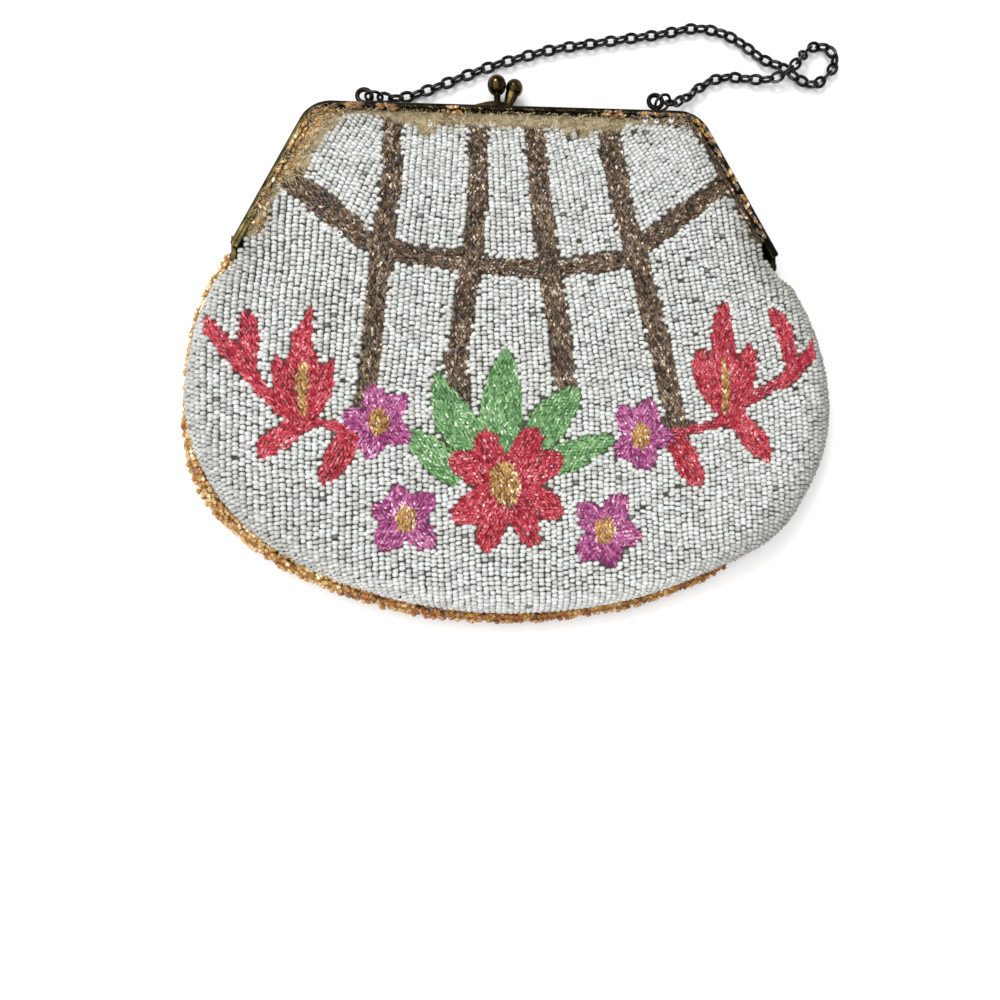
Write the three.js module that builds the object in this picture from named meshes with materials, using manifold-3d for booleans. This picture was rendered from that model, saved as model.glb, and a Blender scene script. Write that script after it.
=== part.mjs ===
// A beaded handbag lying on its back: two panels of beaded cloth, joined at a beaded side seam and
// held at the mouth by a hinged brass frame with a kiss clasp and a link chain.
// Millimetres, +Z up. X runs to the right, Y toward the frame. Z = 0 is the flat middle of the back.

import * as THREE from 'three';
import { mergeVertices } from 'three/addons/utils/BufferGeometryUtils.js';
import Module from 'manifold-3d';

const wasm = await Module();
wasm.setup();

// Driving dimensions

const CLEARANCE = 0.3; // between pieces that touch
const WELD = 1e-4; // corners nearer than this are one corner
const PARTING_Z = 4.6; // height of the side seam and of the plane where the frame's halves meet

// Heights of the frame's section are measured from the parting plane
const FRAME = {
  hingeHalfSpan: 73,
  hingeY: 41,
  topHalfSpan: 53, // to the sharp corner before it is rounded
  topY: 80.3,
  cornerRadius: 9.5,
  cornerSteps: 3,
  base: 0.2,
  face: 4.4,
  wall: 1,
  flangeWidth: 2.3,
  flangeThickness: 0.8,
  edgeRadius: 0.9,
  twistWidth: 1, // the twisted moulding along the flange's inner edge
  twistGroove: 0.3,
};

const HALF_WIDTH = 86;
// Right half of the bag's outline below the hinges, over the seam's edging
const OUTLINE = [
  { x: 0, y: -57.2 },
  { x: 28, y: -54.2 },
  { x: 54.5, y: -44.8 },
  { x: 72.5, y: -32 },
  { x: 82.8, y: -17 },
  { x: HALF_WIDTH, y: -1 },
  { x: 84, y: 17 },
  { x: 79.5, y: 30 },
  { x: 77.6, y: 33 },
];

const EDGING_DIAMETER = 2;
const EDGING_SIDES = 6;
const EDGING_STEPS = 30;

const PANEL = {
  wall: 2.4, // cloth and beads
  frameWall: 1, // bare cloth where the frame grips it
  frameInset: FRAME.wall + CLEARANCE, // of the cloth's edge from the frame's outer face
  gripStart: 0.11, // share of the frame's slope, from the hinge, below which it doesn't grip the cloth
  seamEndHeld: 0.35, // the seam gapes below the hinges
  hingeX: 68.6, // the cloth's edge beside the hinge lugs
  hingeLow: { y: 34.5, held: 0.55 },
  hingeHigh: { y: 41.5, held: 0.8 },
  seamSteps: 18,
  frameStep: 24, // longest stretch of the cloth's edge along the frame
  centre: new THREE.Vector2(2, 9),
};

// Rings of each skin: degrees round the rounded side, from the cloth's edge over its widest place to
// its top, then shares of the way from there to the middle
const OUTER_RINGS = { angles: [-90, 0, 45, 90], shares: [0.2, 0.55] };
const INNER_RINGS = { angles: [-90, 90], shares: [0.5] };

const FRONT = {
  direction: 1,
  rounding: 5,
  shoulder: 11.8, // height just inside the rounded side
  crown: 2.8, // more at the fullest place
  crownY: 16,
  crownHalfWidth: 96,
  crownHalfLength: 62,
  rise: 26, // from the frame to full height
  leanMiddle: 20, // degrees that the rounded side leans out past the seam
  leanRight: 36,
};
const BACK = { direction: -1, rounding: 4.2, rise: 11 };

// Where the front has slumped, first beside the hinges
const DENTS = [
  { x: -69, y: 37, reach: 19, depth: 2.6 },
  { x: 69, y: 37, reach: 19, depth: 2.6 },
  { x: -56, y: 14, reach: 20, depth: 0.9 },
  { x: 58, y: 10, reach: 18, depth: 1.1 },
  { x: -32, y: -28, reach: 22, depth: 0.7 },
  { x: 34, y: 44, reach: 17, depth: 0.8 },
];

const HINGE = {
  y: 37.9,
  lugRadius: 2.1,
  lugThickness: 1,
  frontLugX: 72, // inner face of each lug
  backLugX: 70.7,
  frontWeb: 1.8, // of each lug's web, up past the end of its half of the frame
  backWeb: 2.6,
  webHeight: 2.5,
  shankRadius: 0.75,
  headRadius: 1.5,
  headFace: 1.05,
  headHeight: 0.8,
  sides: 8,
};

const EYE = {
  ringRadius: 1.95,
  wireRadius: 0.55,
  sides: 10,
  wireSides: 5,
  standoff: 5.1, // of its centre from the top bar
  footRadius: 1.3,
  footTop: 0.7,
  footSides: 8,
};
const EYES = {
  left: { x: -39, z: 3 }, // on the back half
  right: { x: 42.1, z: 6.4 }, // on the front half
};

const KNOB = {
  sides: 8,
  ballSteps: 5,
  stemSteps: 4,
  leafSteps: 6,
  tailRadius: 0.45,
  tailHead: 0.9,
  tailHeadHeight: 0.6,
  stemRadius: 0.9,
  plateThickness: 1.3,
};
const FRONT_KNOB = { x: -3, z: 5.7, collarRadius: 1.2, ballY: 88.7, ballRadius: 2.45, ballLength: 3.2 };
const FRONT_PLATE = { left: 7, right: 4.6, bulge: 2.4 }; // a leaf on the top bar
const BACK_KNOB = {
  x: -0.8,
  z: 3.5,
  collarRadius: 1.1,
  straight: 2.4, // of the stem, before it bends to the ball
  ball: new THREE.Vector3(2.2, 88.5, 5),
  ballRadius: 2.25,
};

const JUMP_RING = {
  ringRadius: 2.3,
  wireRadius: 0.4,
  slack: 0.25, // from the eye's centre to the ring's wire
  sides: 10,
  wireSides: 5,
};
const LINK = {
  width: 3.2,
  wire: 0.7,
  pitch: 2.86,
  overlap: 0.1, // of the wires where two links meet
  slack: 0.5, // of an end link on its jump ring
  sides: 10,
  wireSides: 5,
};
const TABLE_Z = LINK.width / 2 + 0.1; // of the chain's middle where it lies on the table
const RIGHT_TILT = 32; // degrees that the right jump ring leans, which the last links follow
const TILTED_LINKS = 9;

// Where the chain leaves each eye, and its route over the table between them
const LEFT_PULL = new THREE.Vector3(1, -0.02, -0.02).normalize();
const RIGHT_PULL = new THREE.Vector3(0.93, 0.12, -0.32).normalize();
const CHAIN_ROUTE = [
  { x: -30.4, y: 85.6, z: 2.3 },
  { x: -26.5, y: 86.8, z: TABLE_Z },
  { x: -16.7, y: 91, z: TABLE_Z },
  { x: -6.2, y: 95.8, z: TABLE_Z },
  { x: 4, y: 99.7, z: TABLE_Z },
  { x: 15, y: 103.2, z: TABLE_Z },
  { x: 25.7, y: 105.4, z: TABLE_Z },
  { x: 36.3, y: 107.6, z: TABLE_Z },
  { x: 47, y: 109.7, z: TABLE_Z },
  { x: 57.5, y: 112.2, z: TABLE_Z },
  { x: 66, y: 110.9, z: TABLE_Z },
  { x: 72, y: 107.6, z: TABLE_Z },
  { x: 77.5, y: 103.4, z: TABLE_Z },
  { x: 83, y: 101.6, z: TABLE_Z },
  { x: 88, y: 98, z: TABLE_Z },
  { x: 93, y: 96, z: TABLE_Z },
  { x: 97, y: 99, z: TABLE_Z },
  { x: 100.6, y: 103.6, z: TABLE_Z },
  { x: 98.8, y: 108, z: TABLE_Z },
  { x: 94, y: 108.6, z: TABLE_Z },
  { x: 90.2, y: 105.4, z: 2.7 },
  { x: 86, y: 100.2, z: 5.4 },
  { x: 81, y: 97, z: 3 },
  { x: 74.5, y: 96.9, z: TABLE_Z },
  { x: 66.8, y: 97.3, z: TABLE_Z },
  { x: 61.2, y: 95.9, z: TABLE_Z },
  { x: 56.4, y: 92.6, z: 2.2 },
  { x: 51.2, y: 88.1, z: 3.6 },
];

// Materials

const BRASS = { color: 0x6b5a2a, roughness: 0.4, metalness: 1 };
const BRIGHT_BRASS = { color: 0x9a7b35, roughness: 0.3, metalness: 1 };
const GUNMETAL = { color: 0x3c3c40, roughness: 0.4, metalness: 1 };
const WHITE_BEADS = { color: 0xdfe2df, roughness: 0.35, metalness: 0 };
const AMBER_BEADS = { color: 0xc07a24, roughness: 0.25, metalness: 0 };

// Closed meshes

function closedGeometry(geometry) {
  const bare = geometry.clone();
  bare.deleteAttribute('normal');
  bare.deleteAttribute('uv');
  const merged = mergeVertices(bare, WELD);
  const corners = merged.index.array;
  const kept = [];
  for (let i = 0; i < corners.length; i += 3) {
    const [a, b, c] = [corners[i], corners[i + 1], corners[i + 2]];
    if (a !== b && b !== c && c !== a) kept.push(a, b, c);
  }
  if (signedVolume(merged.attributes.position, kept) < 0) kept.reverse();
  merged.setIndex(kept);
  return merged;
}

function signedVolume(position, corners) {
  const [a, b, c] = [new THREE.Vector3(), new THREE.Vector3(), new THREE.Vector3()];
  let volume = 0;
  for (let i = 0; i < corners.length; i += 3) {
    a.fromBufferAttribute(position, corners[i]);
    b.fromBufferAttribute(position, corners[i + 1]);
    c.fromBufferAttribute(position, corners[i + 2]);
    volume += a.dot(b.cross(c)) / 6;
  }
  return volume;
}

function toSolid(geometry) {
  const closed = closedGeometry(geometry);
  const vertProperties = new Float32Array(closed.attributes.position.array);
  const triVerts = new Uint32Array(closed.index.array);
  return new wasm.Manifold(new wasm.Mesh({ numProp: 3, vertProperties, triVerts }));
}

function toGeometry(solid) {
  const { vertProperties, triVerts } = solid.getMesh();
  const geometry = new THREE.BufferGeometry();
  geometry.setAttribute('position', new THREE.BufferAttribute(new Float32Array(vertProperties), 3));
  geometry.setIndex(Array.from(triVerts));
  return geometry;
}

function joined(geometries) {
  const solids = geometries.map(toSolid);
  return toGeometry(solids.reduce((whole, solid) => whole.add(solid)));
}

// A solid through rings of points with equal counts. capFaces close its first and last ring.
function loft(rings, capFaces) {
  const count = rings[0].length;
  const corners = [];
  for (let r = 0; r + 1 < rings.length; r += 1) {
    for (let i = 0; i < count; i += 1) {
      const next = (i + 1) % count;
      const [a, b] = [r * count + i, r * count + next];
      corners.push(a, b, b + count, a, b + count, a + count);
    }
  }
  const last = (rings.length - 1) * count;
  for (const [a, b, c] of capFaces) {
    corners.push(c, b, a, last + a, last + b, last + c);
  }
  const geometry = new THREE.BufferGeometry().setFromPoints(rings.flat());
  geometry.setIndex(corners);
  return geometry;
}

// A closed ring of wire in the XY plane, drawn out along X by straight sides
function wireRing(bend, wireRadius, straight, sides, wireSides) {
  const rings = [];
  for (let k = 0; k <= sides; k += 1) {
    const turn = ((k + 0.5) * 2 * Math.PI) / sides;
    const out = new THREE.Vector3(Math.cos(turn), Math.sin(turn), 0);
    const end = Math.abs(out.x) < WELD ? 0 : Math.sign(out.x);
    const ring = [];
    for (let j = 0; j < wireSides; j += 1) {
      const around = Math.PI + (j * 2 * Math.PI) / wireSides; // a corner of the wire faces the middle
      const p = out.clone().multiplyScalar(bend + wireRadius * Math.cos(around));
      p.x += (end * straight) / 2;
      p.z = wireRadius * Math.sin(around);
      ring.push(p);
    }
    rings.push(ring);
  }
  return loft(rings, []);
}

// Places a shape drawn in Y and Z, and extruded from its drawing plane, along X
const ALONG_X = new THREE.Matrix4().makeBasis(
  new THREE.Vector3(0, 1, 0),
  new THREE.Vector3(0, 0, 1),
  new THREE.Vector3(1, 0, 0),
);
// Places a shape drawn in X and Z, and extruded from its drawing plane, along Y
const ALONG_Y = new THREE.Matrix4().makeBasis(
  new THREE.Vector3(1, 0, 0),
  new THREE.Vector3(0, 0, 1),
  new THREE.Vector3(0, 1, 0),
);

// The frame's path, from the right hinge over the top bar to the left hinge

function frameStations() {
  const hinge = new THREE.Vector2(FRAME.hingeHalfSpan, FRAME.hingeY);
  const corner = new THREE.Vector2(FRAME.topHalfSpan, FRAME.topY);
  const slope = corner.clone().sub(hinge).normalize();
  const startAngle = Math.atan2(-slope.x, slope.y);
  const turn = Math.PI / 2 - startAngle;
  const cornerStart = corner.clone().addScaledVector(slope, -FRAME.cornerRadius * Math.tan(turn / 2));
  const slopeOut = new THREE.Vector2(Math.cos(startAngle), Math.sin(startAngle));
  const arcCentre = cornerStart.clone().addScaledVector(slopeOut, -FRAME.cornerRadius);
  const right = [{ at: hinge, out: slopeOut }];
  for (let k = 0; k <= FRAME.cornerSteps; k += 1) {
    const angle = startAngle + (turn * k) / FRAME.cornerSteps;
    const out = new THREE.Vector2(Math.cos(angle), Math.sin(angle));
    right.push({ at: arcCentre.clone().addScaledVector(out, FRAME.cornerRadius), out });
  }
  const left = right.map(({ at, out }) => ({
    at: new THREE.Vector2(-at.x, at.y),
    out: new THREE.Vector2(-out.x, out.y),
  }));
  return [...right, ...left.reverse()];
}

// Section of a frame half: x outward from the rim's face, y away from the parting plane
function frameSection() {
  const { base, face, wall, flangeWidth, flangeThickness, edgeRadius, twistWidth, twistGroove } = FRAME;
  const edge45 = edgeRadius * (1 - Math.SQRT1_2);
  const grooveX = twistWidth - flangeWidth;
  const twistRound = twistWidth / 4;
  const underside = face - flangeThickness;
  return [
    new THREE.Vector2(0, base),
    new THREE.Vector2(0, face - edgeRadius),
    new THREE.Vector2(-edge45, face - edge45),
    new THREE.Vector2(-edgeRadius, face),
    new THREE.Vector2(grooveX, face),
    new THREE.Vector2(grooveX - twistRound / 2, face - twistGroove),
    new THREE.Vector2(grooveX - twistRound, face),
    new THREE.Vector2(twistRound - flangeWidth, face),
    new THREE.Vector2(-flangeWidth, face - twistRound),
    new THREE.Vector2(-flangeWidth, underside),
    new THREE.Vector2(-wall, underside),
    new THREE.Vector2(-wall, base),
  ];
}

function frameBar(direction) {
  const section = frameSection();
  const rings = frameStations().map(({ at, out }) => section.map(
    (p) => new THREE.Vector3(at.x + out.x * p.x, at.y + out.y * p.x, PARTING_Z + direction * p.y),
  ));
  return loft(rings, THREE.ShapeUtils.triangulateShape(section, []));
}

// A lug round the hinge pin, with a web up to its own half of the frame
function hingeLug(innerX, direction, webTop) {
  const { y, lugRadius } = HINGE;
  const webBase = FRAME.base * direction;
  const webFace = HINGE.webHeight * direction;
  const shape = new THREE.Shape();
  shape.moveTo(webTop, webFace);
  shape.lineTo(y, lugRadius * direction);
  shape.absarc(y, 0, lugRadius, (Math.PI / 2) * direction, (-Math.PI / 2) * direction, direction < 0);
  shape.lineTo(y + lugRadius, webBase);
  shape.lineTo(webTop, webBase);
  const pinHole = new THREE.Path();
  pinHole.absarc(y, 0, HINGE.shankRadius + CLEARANCE, 0, 2 * Math.PI, false);
  shape.holes.push(pinHole);
  const lug = new THREE.ExtrudeGeometry(shape, {
    depth: HINGE.lugThickness,
    bevelEnabled: false,
    curveSegments: HINGE.sides / 2,
  });
  return lug.applyMatrix4(ALONG_X).translate(innerX, 0, PARTING_Z);
}

function hingeLugs(direction) {
  const isFront = direction > 0;
  const innerX = isFront ? HINGE.frontLugX : HINGE.backLugX;
  const webTop = FRAME.hingeY + (isFront ? HINGE.frontWeb : HINGE.backWeb);
  const right = hingeLug(innerX, direction, webTop);
  const left = right.clone().translate(-2 * innerX - HINGE.lugThickness, 0, 0);
  return [right, left];
}

// An eye for the chain, soldered to the top bar on a tapered foot
function chainEye({ x, z }) {
  const centreY = FRAME.topY + EYE.standoff;
  const ring = wireRing(EYE.ringRadius, EYE.wireRadius, 0, EYE.sides, EYE.wireSides);
  ring.translate(x, centreY, z);
  const footStart = FRAME.topY - FRAME.wall / 2;
  const footEnd = centreY - EYE.ringRadius;
  const foot = new THREE.CylinderGeometry(EYE.footTop, EYE.footRadius, footEnd - footStart, EYE.footSides);
  foot.translate(x, (footStart + footEnd) / 2, z);
  return [ring, foot];
}

// The hole in the top bar that a clasp knob's tail goes through
function tailHole({ x, z }) {
  const hole = new THREE.CylinderGeometry(
    KNOB.tailRadius + CLEARANCE, KNOB.tailRadius + CLEARANCE, 3 * FRAME.wall, KNOB.sides,
  );
  return hole.translate(x, FRAME.topY - FRAME.wall / 2, z);
}

function frameHalf(direction, eye, knob) {
  const metal = joined([frameBar(direction), ...hingeLugs(direction), ...chainEye(eye)]);
  return toGeometry(toSolid(metal).subtract(toSolid(tailHole(knob))));
}

// A hinge pin along X with a head at each end
function hingeRivet(side) {
  const { shankRadius, headRadius, headFace, headHeight } = HINGE;
  const start = HINGE.backLugX - CLEARANCE;
  const end = HINGE.frontLugX + HINGE.lugThickness + CLEARANCE;
  const profile = [
    new THREE.Vector2(0, start - headHeight),
    new THREE.Vector2(headRadius, start - headHeight),
    new THREE.Vector2(headRadius, start),
    new THREE.Vector2(shankRadius, start),
    new THREE.Vector2(shankRadius, end),
    new THREE.Vector2(headRadius, end),
    new THREE.Vector2(headFace, end + headHeight),
    new THREE.Vector2(0, end + headHeight),
  ];
  const pin = new THREE.LatheGeometry(profile, HINGE.sides);
  pin.rotateZ((-Math.PI / 2) * side);
  return closedGeometry(pin.translate(0, HINGE.y, PARTING_Z));
}

// The beaded side seam, from the left hinge round the bottom to the right hinge

const outlineRight = OUTLINE.map(({ x, y }) => new THREE.Vector2(x, y));
const outlineLeft = OUTLINE.slice(1).map(({ x, y }) => new THREE.Vector2(-x, y));
const seamCurve = new THREE.SplineCurve([...outlineLeft.reverse(), ...outlineRight]);

// A point on the seam, at a share of its length, set in from the outline
function seamPoint(share, inset) {
  const tangent = seamCurve.getTangentAt(share);
  const outward = new THREE.Vector2(tangent.y, -tangent.x);
  return seamCurve.getPointAt(share).addScaledVector(outward, -inset);
}

function edging() {
  const route = [];
  for (let k = 0; k <= EDGING_STEPS; k += 1) {
    const { x, y } = seamPoint(k / EDGING_STEPS, EDGING_DIAMETER / 2);
    route.push(new THREE.Vector3(x, y, PARTING_Z));
  }
  const section = new THREE.Shape();
  section.absarc(0, 0, EDGING_DIAMETER / 2, 0, 2 * Math.PI, false);
  return closedGeometry(new THREE.ExtrudeGeometry(section, {
    extrudePath: new THREE.CatmullRomCurve3(route),
    steps: EDGING_STEPS,
    curveSegments: EDGING_SIDES / 2,
  }));
}

// The cloth's edge, anticlockwise: round the seam, past the hinge and along the frame.
// held is 0 at the seam, 1 where the frame grips the cloth.
function panelEdge() {
  const edge = [];
  const seamInset = EDGING_DIAMETER + CLEARANCE;
  for (let k = 0; k <= PANEL.seamSteps; k += 1) {
    const isEnd = k === 0 || k === PANEL.seamSteps;
    edge.push({ at: seamPoint(k / PANEL.seamSteps, seamInset), held: isEnd ? PANEL.seamEndHeld : 0 });
  }
  const { hingeX, hingeLow, hingeHigh } = PANEL;
  const rightHinge = new THREE.Vector2(hingeX, hingeHigh.y);
  const leftHinge = new THREE.Vector2(-hingeX, hingeHigh.y);
  edge.push({ at: new THREE.Vector2(hingeX, hingeLow.y), held: hingeLow.held });
  edge.push({ at: rightHinge, held: hingeHigh.held });
  const stations = frameStations();
  const grip = ({ at, out }) => at.clone().addScaledVector(out, -PANEL.frameInset);
  const lowGrip = (hinge, corner) => grip({
    at: hinge.at.clone().lerp(corner.at, PANEL.gripStart),
    out: hinge.out,
  });
  const gripped = [
    lowGrip(stations.at(0), stations.at(1)),
    ...stations.slice(1, -1).map(grip),
    lowGrip(stations.at(-1), stations.at(-2)),
  ];
  let from = rightHinge;
  for (const to of [...gripped, leftHinge]) {
    const parts = Math.ceil(from.distanceTo(to) / PANEL.frameStep);
    for (let k = 1; k <= parts; k += 1) {
      edge.push({ at: from.clone().lerp(to, k / parts), held: 1 });
    }
    from = to;
  }
  edge.at(-1).held = hingeHigh.held;
  edge.push({ at: new THREE.Vector2(-hingeX, hingeLow.y), held: hingeLow.held });
  return edge;
}

function frontHeight(x, y) {
  const across = Math.max(0, 1 - (x / FRONT.crownHalfWidth) ** 2);
  const along = Math.max(0, 1 - ((y - FRONT.crownY) / FRONT.crownHalfLength) ** 2);
  let height = FRONT.shoulder + FRONT.crown * across * along;
  for (const dent of DENTS) {
    const far = Math.hypot(x - dent.x, y - dent.y) / dent.reach;
    height -= dent.depth * Math.exp(-far * far);
  }
  return height;
}

// How far the front's rounded side leans out past the seam, in degrees: most at the right
function frontLean(x) {
  return FRONT.leanMiddle + (FRONT.leanRight - FRONT.leanMiddle) * (x / HALF_WIDTH);
}

// One skin of a panel, as rings of points from the cloth's edge in to the middle
function panelSkin(edge, skin) {
  const { rings, height, lean, rounding, rise, inset, seamZ, frameZ } = skin;
  const { lerp, degToRad, smoothstep } = THREE.MathUtils;

  // The rounded side at an angle: how far in from the edge, and how much of the climb to its top
  const roundedSide = ({ at, held }, degrees) => {
    const start = -degToRad(lean(at.x));
    const turn = Math.max(start, degToRad(degrees));
    const seamFar = rounding * (Math.cos(start) - Math.cos(turn));
    const frameFar = rounding * (1 - Math.cos(Math.max(0, turn)));
    const climb = (Math.sin(turn) - Math.sin(start)) / (1 - Math.sin(start));
    return { far: lerp(seamFar, frameFar, held), climb };
  };
  const skinPoint = ({ at, held }, far, seamClimb) => {
    const inward = PANEL.centre.clone().sub(at).normalize();
    const { x, y } = at.clone().addScaledVector(inward, far + inset * (1 - held));
    const climb = lerp(seamClimb, smoothstep(far, 0, rise), held);
    return new THREE.Vector3(x, y, lerp(lerp(seamZ, frameZ, held), height(x, y), climb));
  };
  const sideRings = rings.angles.map((degrees) => edge.map((corner) => {
    const { far, climb } = roundedSide(corner, degrees);
    return skinPoint(corner, far, climb);
  }));
  const topRings = rings.shares.map((share) => edge.map((corner) => {
    const { far } = roundedSide(corner, 90);
    return skinPoint(corner, lerp(far, corner.at.distanceTo(PANEL.centre), share), 1);
  }));
  return [...sideRings, ...topRings];
}

// A dished panel of one wall thickness, open toward the other panel
function clothPanel({ direction, rounding, rise }, height, lean) {
  const edge = panelEdge();
  const seamZ = PARTING_Z + (direction * CLEARANCE) / 2;
  const grip = FRAME.face - FRAME.flangeThickness - CLEARANCE;
  const innerHeight = (x, y) => height(x, y) - direction * PANEL.wall;
  const outer = panelSkin(edge, {
    rings: OUTER_RINGS,
    height,
    lean,
    rounding,
    rise,
    inset: 0,
    seamZ,
    frameZ: PARTING_Z + direction * grip,
  });
  const inner = panelSkin(edge, {
    rings: INNER_RINGS,
    height: innerHeight,
    lean: () => 0,
    rounding: rounding - PANEL.wall / 2,
    rise,
    inset: PANEL.wall,
    seamZ,
    frameZ: PARTING_Z + direction * (grip - PANEL.frameWall),
  });
  const rings = [...inner.reverse(), ...outer];
  const { x, y } = PANEL.centre;
  const middle = (z) => edge.map(() => new THREE.Vector3(x, y, z));
  return closedGeometry(loft([middle(innerHeight(x, y)), ...rings, middle(height(x, y))], []));
}

// Clasp knobs

// The riveted tail of a knob, inside the top bar and up through it, under a round collar
function knobTail({ x, z, collarRadius }) {
  const headEnd = -FRAME.wall - CLEARANCE;
  const headStart = headEnd - KNOB.tailHeadHeight;
  const collarEnd = CLEARANCE + KNOB.plateThickness;
  const profile = [
    new THREE.Vector2(0, headStart),
    new THREE.Vector2(KNOB.tailHead, headStart),
    new THREE.Vector2(KNOB.tailHead, headEnd),
    new THREE.Vector2(KNOB.tailRadius, headEnd),
    new THREE.Vector2(KNOB.tailRadius, CLEARANCE),
    new THREE.Vector2(collarRadius, CLEARANCE),
    new THREE.Vector2(collarRadius, collarEnd),
    new THREE.Vector2(0, collarEnd),
  ];
  return new THREE.LatheGeometry(profile, KNOB.sides).translate(x, FRAME.topY, z);
}

// A knob on a leaf-shaped plate, with an upright stem that swells into a pear-shaped ball
function frontKnob() {
  const { x, z, ballY, ballRadius, ballLength } = FRONT_KNOB;
  const plateBase = FRAME.topY + CLEARANCE;
  const { left, right, bulge } = FRONT_PLATE;
  const leaf = new THREE.Shape();
  leaf.moveTo(-left, 0);
  leaf.quadraticCurveTo(0, -bulge, right, 0);
  leaf.quadraticCurveTo(0, bulge, -left, 0);
  const plate = new THREE.ExtrudeGeometry(leaf, {
    depth: KNOB.plateThickness,
    bevelEnabled: false,
    curveSegments: KNOB.leafSteps,
  });
  plate.applyMatrix4(ALONG_Y).translate(x, plateBase, z);
  const neckTurn = Math.acos(KNOB.stemRadius / ballRadius);
  const stemBase = plateBase + KNOB.plateThickness / 2;
  const profile = [new THREE.Vector2(0, stemBase), new THREE.Vector2(KNOB.stemRadius, stemBase)];
  for (let k = 0; k <= KNOB.ballSteps; k += 1) {
    const turn = THREE.MathUtils.lerp(-neckTurn, Math.PI / 2, k / KNOB.ballSteps);
    const reach = turn < 0 ? ballLength : ballRadius;
    profile.push(new THREE.Vector2(ballRadius * Math.cos(turn), ballY + reach * Math.sin(turn)));
  }
  const ball = new THREE.LatheGeometry(profile, KNOB.sides).translate(x, 0, z);
  return joined([knobTail(FRONT_KNOB), plate, ball]);
}

// A knob whose stem bends across the parting plane to set its ball beside the other one
function backKnob() {
  const { x, z, straight, ball, ballRadius } = BACK_KNOB;
  const collarTop = FRAME.topY + CLEARANCE + KNOB.plateThickness;
  const section = new THREE.Shape();
  section.absarc(0, 0, KNOB.stemRadius, 0, 2 * Math.PI, false);
  const stem = new THREE.ExtrudeGeometry(section, {
    extrudePath: new THREE.QuadraticBezierCurve3(
      new THREE.Vector3(x, collarTop - KNOB.plateThickness / 2, z),
      new THREE.Vector3(x, collarTop + straight, z),
      ball,
    ),
    steps: KNOB.stemSteps,
    curveSegments: KNOB.sides / 2,
  });
  const round = new THREE.SphereGeometry(ballRadius, KNOB.sides, KNOB.ballSteps + 1);
  round.translate(ball.x, ball.y, ball.z);
  return joined([knobTail(BACK_KNOB), stem, round]);
}

// Jump rings, each through its eye, and the chain between them

function eyeCentre({ x, z }) {
  return new THREE.Vector3(x, FRAME.topY + EYE.standoff, z);
}

// From the eye's centre to the jump ring's
const JUMP_REACH = JUMP_RING.ringRadius + JUMP_RING.slack;
// From a link's end wire to the point that it shares with the next link
const LINK_CONTACT = (LINK.wire - LINK.overlap) / 2;

function jumpRing(eye, pull, tilt) {
  const side = new THREE.Vector3().crossVectors(new THREE.Vector3(0, 0, 1), pull).normalize();
  const upright = new THREE.Vector3().crossVectors(pull, side);
  const lean = THREE.MathUtils.degToRad(tilt);
  const across = upright.multiplyScalar(Math.cos(lean)).addScaledVector(side, Math.sin(lean));
  const normal = new THREE.Vector3().crossVectors(pull, across);
  const centre = eyeCentre(eye).addScaledVector(pull, JUMP_REACH);
  const { ringRadius, wireRadius, wireSides, sides } = JUMP_RING;
  const ring = wireRing(ringRadius, wireRadius, 0, sides, wireSides);
  ring.applyMatrix4(new THREE.Matrix4().makeBasis(pull, across, normal).setPosition(centre));
  return closedGeometry(ring);
}

// Where the chain's first link hangs on a jump ring
function chainEnd(eye, pull) {
  const wireGap = JUMP_RING.wireRadius + LINK.slack + LINK.wire / 2 - LINK_CONTACT;
  const reach = JUMP_REACH + JUMP_RING.ringRadius - wireGap;
  return eyeCentre(eye).addScaledVector(pull, reach);
}

// An oval link along X, in the XY plane
function chainLink(pitch) {
  const bend = (LINK.width - LINK.wire) / 2;
  const flatBend = bend * Math.cos(Math.PI / LINK.sides); // to the flat side at each end
  const straight = pitch + 2 * LINK_CONTACT - 2 * flatBend;
  return wireRing(bend, LINK.wire / 2, straight, LINK.sides, LINK.wireSides);
}

function chain() {
  const route = new THREE.CatmullRomCurve3([
    chainEnd(EYES.left, LEFT_PULL),
    ...CHAIN_ROUTE.map(({ x, y, z }) => new THREE.Vector3(x, y, z)),
    chainEnd(EYES.right, RIGHT_PULL),
  ]);
  route.arcLengthDivisions = 2000;
  const length = route.getLength();
  const count = 2 * Math.round((length / LINK.pitch - 1) / 2) + 1; // odd, so both end links lie flat
  const links = [];
  for (let i = 0; i < count; i += 1) {
    const start = route.getPointAt(i / count);
    const end = route.getPointAt((i + 1) / count);
    const along = end.clone().sub(start);
    const pitch = along.length();
    along.normalize();
    const side = new THREE.Vector3().crossVectors(new THREE.Vector3(0, 0, 1), along).normalize();
    const upright = new THREE.Vector3().crossVectors(along, side);
    const tilt = RIGHT_TILT * THREE.MathUtils.smoothstep(i, count - TILTED_LINKS, count - 1);
    const roll = THREE.MathUtils.degToRad((i % 2) * 90 + tilt);
    const across = side.clone().multiplyScalar(Math.cos(roll)).addScaledVector(upright, Math.sin(roll));
    const normal = new THREE.Vector3().crossVectors(along, across);
    const middle = start.clone().lerp(end, 0.5);
    const place = new THREE.Matrix4().makeBasis(along, across, normal).setPosition(middle);
    links.push(chainLink(pitch).applyMatrix4(place));
  }
  return joined(links);
}

// The handbag

const handbag = new THREE.Group();

function addPiece(name, geometry, finish) {
  const piece = new THREE.Mesh(geometry, new THREE.MeshStandardMaterial(finish));
  piece.name = name;
  handbag.add(piece);
}

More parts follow.
